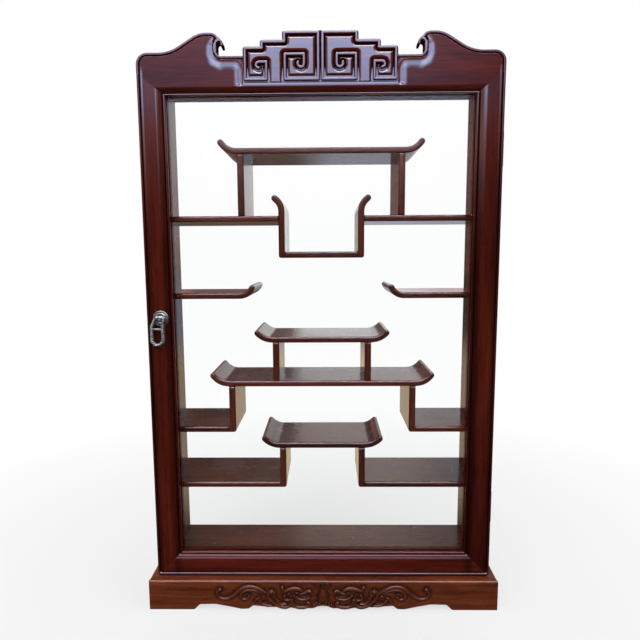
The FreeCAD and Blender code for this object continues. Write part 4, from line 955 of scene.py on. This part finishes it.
class CABINET_OT_apron(bpy.types.Operator):
    """Carves the plinth's front board with its two scrolls, dragon heads and vase"""

    bl_idname = "cabinet.apron"
    bl_label = "Carved apron"

    def execute(self, context):
        wood = wood_materials()["plinth_wood"]
        edge = rounded_corners(APRON_EDGE)
        flat_top = APRON_TOP - APRON_ROUND
        back = (APRON_FRONT + APRON_THICK) * MM
        inner = (APRON_HALF - APRON_THICK) * MM

        def place(u, v):
            swing = 2 * u - 1
            plain = (np.abs(swing) - GRID_CARVED) / (1 - GRID_CARVED)
            x = np.where(np.abs(swing) < GRID_CARVED, swing / GRID_CARVED * CARVED_HALF,
                         np.sign(swing) * (CARVED_HALF + plain * (APRON_HALF - CARVED_HALF)))
            foot = np.interp(np.abs(x), edge[:, 0], edge[:, 1])
            z = np.where(v < GRID_FACE, foot + v / GRID_FACE * (flat_top - foot), flat_top)
            turn = np.clip((v - GRID_FACE) / (1 - GRID_FACE), 0, 1) * math.pi / 2
            z = z + APRON_ROUND * np.sin(turn)
            y = APRON_FRONT + APRON_ROUND * (1 - np.cos(turn))
            height, self.shade = apron_relief(x, z) * (v <= GRID_FACE) * step(*CARVED_TOP, z)
            return np.stack([x, y - height, z], axis=1) * MM

        bm = lifted_grid(*APRON_GRID, place)
        store(bm, PAINTED_SHADE, self.shade)
        backed(bm, back)
        for vertex in bm.verts:
            if vertex.co.y > back - MERGE:
                vertex.co.x = max(-inner, min(inner, vertex.co.x))
        piece = finish_mesh(bm, "carved_apron", wood, CARVED_ANGLE)
        grain_along(piece.data, "x", 77)
        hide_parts("plinth_front")
        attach(piece, "cabinet")
        return {"FINISHED"}


class CABINET_OT_crest(bpy.types.Operator):
    """Makes the door's crest and carves the key fret on it"""

    bl_idname = "cabinet.crest"
    bl_label = "Crest and fret"

    def execute(self, context):
        wood = wood_materials()["painted_lit_crest_wood"]
        crest = finish_mesh(merged_bmesh("door_crest_rail"), "carved_crest", wood)
        self.cut_away_fret(crest)
        mark_mouldings(crest.data)
        self.soften_scoops(crest.data)
        fret = self.carve_fret(wood)
        with context.temp_override(active_object=crest, selected_editable_objects=[crest, fret]):
            bpy.ops.object.join()
        grain_along(crest.data, "x", 150)
        weigh_normals(crest)
        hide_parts("door_crest_rail")
        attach(crest, "door")
        return {"FINISHED"}

    def soften_scoops(self, mesh):
        """Gives the scoops the soft section of rubbed hollows, and paints shade inside the hook."""
        x, depth, z = front_places(mesh)
        line = rounded_corners(SCOOP_AXIS)
        away = edge_distance(x, z, line)
        inner = away < edge_distance(x, z, line + line_normals(line))
        side = np.where(inner | (z > line[-1][1]), -away, away)
        worked = np.interp(side, *zip(*SCOOP_PROFILE))
        reach, heights, times = SCOOP_BESIDE
        worked *= np.where(x < reach, np.interp(z, heights, times), 1)
        for i in np.flatnonzero((away < SCOOP_HALF) & (depth > 0) & (depth < SCOOP_DEEPEST)):
            mesh.vertices[i].co.y = (DOOR_FRONT + worked[i]) * MM
        (low_x, high_x), (low_z, high_z) = HOOK_ROOM
        room = (x > low_x) & (x < high_x) & (z > low_z) & (z < high_z) & (depth > HOOK_DEPTH)
        for i in np.flatnonzero(room):
            mesh.attributes[PAINTED_SHADE].data[i].value = 1

    def cut_away_fret(self, crest):
        """Takes the plain fret off the crest, to make room for the carved one."""
        half, deep, tall = FRET_STEPS[0][0], 20, 100
        bm = bmesh.new()
        bmesh.ops.create_cube(bm, size=1)
        bmesh.ops.scale(bm, verts=bm.verts, vec=(2 * half * MM, deep * MM, tall * MM))
        bmesh.ops.translate(bm, verts=bm.verts, vec=(0, (FRET_CUT - deep / 2) * MM,
                                                     (FRET_FOOT + tall / 2) * MM))
        block = finish_mesh(bm, "fret_room", crest.data.materials[0])
        cut = crest.modifiers.new("fret_room", "BOOLEAN")
        cut.object = block
        cut.operation = "DIFFERENCE"
        cut.solver = "EXACT"
        graph = bpy.context.evaluated_depsgraph_get()
        mesh = bpy.data.meshes.new_from_object(crest.evaluated_get(graph))
        crest.modifiers.clear()
        crest.data = mesh
        bpy.data.objects.remove(block)
        mesh.shade_smooth()
        mesh.set_sharp_from_angle(angle=SMOOTH_ANGLE)

    def carve_fret(self, wood):
        """Makes the carved fret from a grid cut to the block's stepped outline."""
        half, top = FRET_STEPS[0][0], FRET_STEPS[-1][1]

        def place(u, v):
            x = (2 * u - 1) * half
            z = FRET_FOOT + v * (top - FRET_FOOT)
            return np.stack([x, np.full(x.shape, DOOR_FRONT), z], axis=1)

        bm = lifted_grid(*FRET_GRID, place)
        bm.faces.ensure_lookup_table()
        centres = np.array([f.calc_center_median() for f in bm.faces])
        outside = fret_outline(centres[:, 0], centres[:, 2]) > 0
        bmesh.ops.delete(bm, geom=[bm.faces[i] for i in np.flatnonzero(outside)],
                         context="FACES")
        bm.verts.ensure_lookup_table()
        points = np.array([v.co for v in bm.verts])
        rim = np.array([v.is_boundary for v in bm.verts])
        x, z = points[:, 0], points[:, 2]
        # The rim moves onto the outline in a few tries, by the slope of its distance
        near = 0.02
        for _ in range(4):
            away = fret_outline(x, z)
            dx = (fret_outline(x + near, z) - fret_outline(x - near, z)) / (2 * near)
            dz = (fret_outline(x, z + near) - fret_outline(x, z - near)) / (2 * near)
            long = np.maximum(dx * dx + dz * dz, 0.25)
            x = np.where(rim, x - away * dx / long, x)
            z = np.where(rim, z - away * dz / long, z)
        height, shade = fret_relief(x, z)
        for vertex, point in zip(bm.verts, np.stack([x, DOOR_FRONT - height, z], axis=1) * MM):
            vertex.co = point
        store(bm, PAINTED_SHADE, shade)
        store(bm, POLISH, np.ones(shade.shape))
        backed(bm, FRET_BACK * MM)
        return finish_mesh(bm, "key_fret", wood, CARVED_ANGLE)


class CABINET_OT_glass(bpy.types.Operator):
    """Gives both panes clear glass"""

    bl_idname = "cabinet.glass"
    bl_label = "Glass"

    def execute(self, context):
        finish = context.scene.cabinet_finish
        glass = clear_glass("clear_glass", finish.glass_tint)
        for node in ("door_glass", "back_glass"):
            paint(node, glass)
        return {"FINISHED"}


class CABINET_OT_hinges(bpy.types.Operator):
    """Gives the hinges and their screws brass"""

    bl_idname = "cabinet.hinges"
    bl_label = "Hinges"

    def execute(self, context):
        colour = context.scene.cabinet_finish.brass
        brass = worn_metal("aged_brass", colour, [c * 0.4 for c in colour], 60)
        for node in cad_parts:
            if node.startswith("hinge_"):
                paint(node, brass)
        return {"FINISHED"}


class CABINET_OT_pull(bpy.types.Operator):
    """Makes the ring pull: its stepped round plate, its post and the twisted loop"""

    bl_idname = "cabinet.pull"
    bl_label = "Ring pull"

    def execute(self, context):
        colour = context.scene.cabinet_finish.old_metal
        metal = worn_metal("worn_white_metal", colour, [c * 0.35 for c in colour], 210)
        plate = self.plate(metal)
        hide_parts("pull_plate")
        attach(plate, "door")
        loop = self.loop(metal)
        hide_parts("pull_ring")
        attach(loop, "ring_pull")
        paint("pull_post", metal)
        return {"FINISHED"}

    def plate(self, metal):
        """Round stepped plate, spun from its profile."""
        bm = bmesh.new()
        rim = [bm.verts.new(((PULL_X + r) * MM, (DOOR_FRONT - h) * MM, PULL_Z * MM))
               for r, h in PLATE_PROFILE]
        line = [bm.edges.new(pair) for pair in zip(rim[:-1], rim[1:])]
        bmesh.ops.spin(bm, geom=rim + line, cent=(PULL_X * MM, 0, PULL_Z * MM), axis=(0, 1, 0),
                       angle=2 * math.pi, steps=72, use_merge=True)
        bmesh.ops.remove_doubles(bm, verts=bm.verts, dist=MERGE)
        bmesh.ops.recalc_face_normals(bm, faces=bm.faces)
        return finish_mesh(bm, "pull_rosette", metal, PLATE_ANGLE)

    def loop(self, metal):
        """Loop of twisted wire with its crossbar."""
        arch = [(PULL_X + x, PULL_Z + z, 0) for x, z in LOOP_ARCH]
        side = rounded_corners([(PULL_X + x, PULL_Z + z, r) for x, z, r in LOOP_SIDES])
        bm = rope(np.vstack([side, smooth_line(arch)[1:, :2]]), LOOP_WIRE, LOOP_TURNS, True)
        bar = np.array([(PULL_X + BAR_X + half, PULL_Z + BAR_Z) for half in (-BAR_HALF, BAR_HALF)])
        other = rope(bar, BAR_WIRE, BAR_TURNS, False)
        mesh = bpy.data.meshes.new("bar")
        other.to_mesh(mesh)
        other.free()
        bm.from_mesh(mesh)
        bpy.data.meshes.remove(mesh)
        return finish_mesh(bm, "pull_loop", metal, CARVED_ANGLE)


def rope(path, radius, turns, closed):
    """Twisted wire along a line of (x, z) points in the plane of the pull's loop."""
    lengths = np.concatenate([[0], np.cumsum(np.hypot(*np.diff(path, axis=0).T))])
    whole = lengths[-1]

    def on_path(along):
        return np.array([np.interp(along, lengths, column) for column in path.T])

    def place(u, v):
        along = u * whole
        x, z = on_path(along)
        before, after = along - ROPE_REACH, along + ROPE_REACH
        if closed:
            before, after = before % whole, after % whole
        ahead_x, ahead_z = on_path(after) - on_path(before)
        size = np.hypot(ahead_x, ahead_z)
        angle = v * 2 * math.pi
        flute = 1 - ROPE_FLUTE * (1 - np.cos(3 * angle - turns * 2 * math.pi * u))
        out = radius * flute * np.cos(angle)
        return np.stack([x + ahead_z / size * out, LOOP_Y - radius * flute * np.sin(angle),
                         z - ahead_x / size * out], axis=1) * MM

    bm = lifted_grid(int(whole / ROPE_SPACING), ROPE_AROUND, place)
    bmesh.ops.remove_doubles(bm, verts=bm.verts, dist=MERGE)
    ends = [e for e in bm.edges if e.is_boundary]
    if ends:
        bmesh.ops.holes_fill(bm, edges=ends)
    bmesh.ops.recalc_face_normals(bm, faces=bm.faces)
    return bm


def paint(node, material):
    """Gives a CAD node that stays its material."""
    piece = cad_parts[node]
    if not piece.material_slots:
        raise RuntimeError("%s has no material slot" % node)
    for holder in piece.material_slots:
        holder.material = material


class CABINET_PT_panel(bpy.types.Panel):
    """Lists the operators in the sidebar"""

    bl_label = "Book cabinet"
    bl_idname = "CABINET_PT_panel"
    bl_space_type = "VIEW_3D"
    bl_region_type = "UI"
    bl_category = "Cabinet"

    def draw(self, context):
        for task in TASKS:
            self.layout.operator(task.bl_idname, text=task.bl_label)


TASKS = (CABINET_OT_stage, CABINET_OT_case, CABINET_OT_apron, CABINET_OT_door, CABINET_OT_crest,
         CABINET_OT_glass, CABINET_OT_hinges, CABINET_OT_pull)
CLASSES = (CabinetFinish, CabinetStage) + TASKS + (CABINET_PT_panel,)


def register():
    for kind in CLASSES:
        bpy.utils.register_class(kind)
    bpy.types.Scene.cabinet_finish = bpy.props.PointerProperty(type=CabinetFinish)
    bpy.types.Scene.cabinet_stage = bpy.props.PointerProperty(type=CabinetStage)


def unregister():
    del bpy.types.Scene.cabinet_stage
    del bpy.types.Scene.cabinet_finish
    for kind in reversed(CLASSES):
        bpy.utils.unregister_class(kind)


def main():
    register()
    for task in TASKS:
        group, name = task.bl_idname.split(".")
        getattr(getattr(bpy.ops, group), name)()


if __name__ == "__main__":
    main()
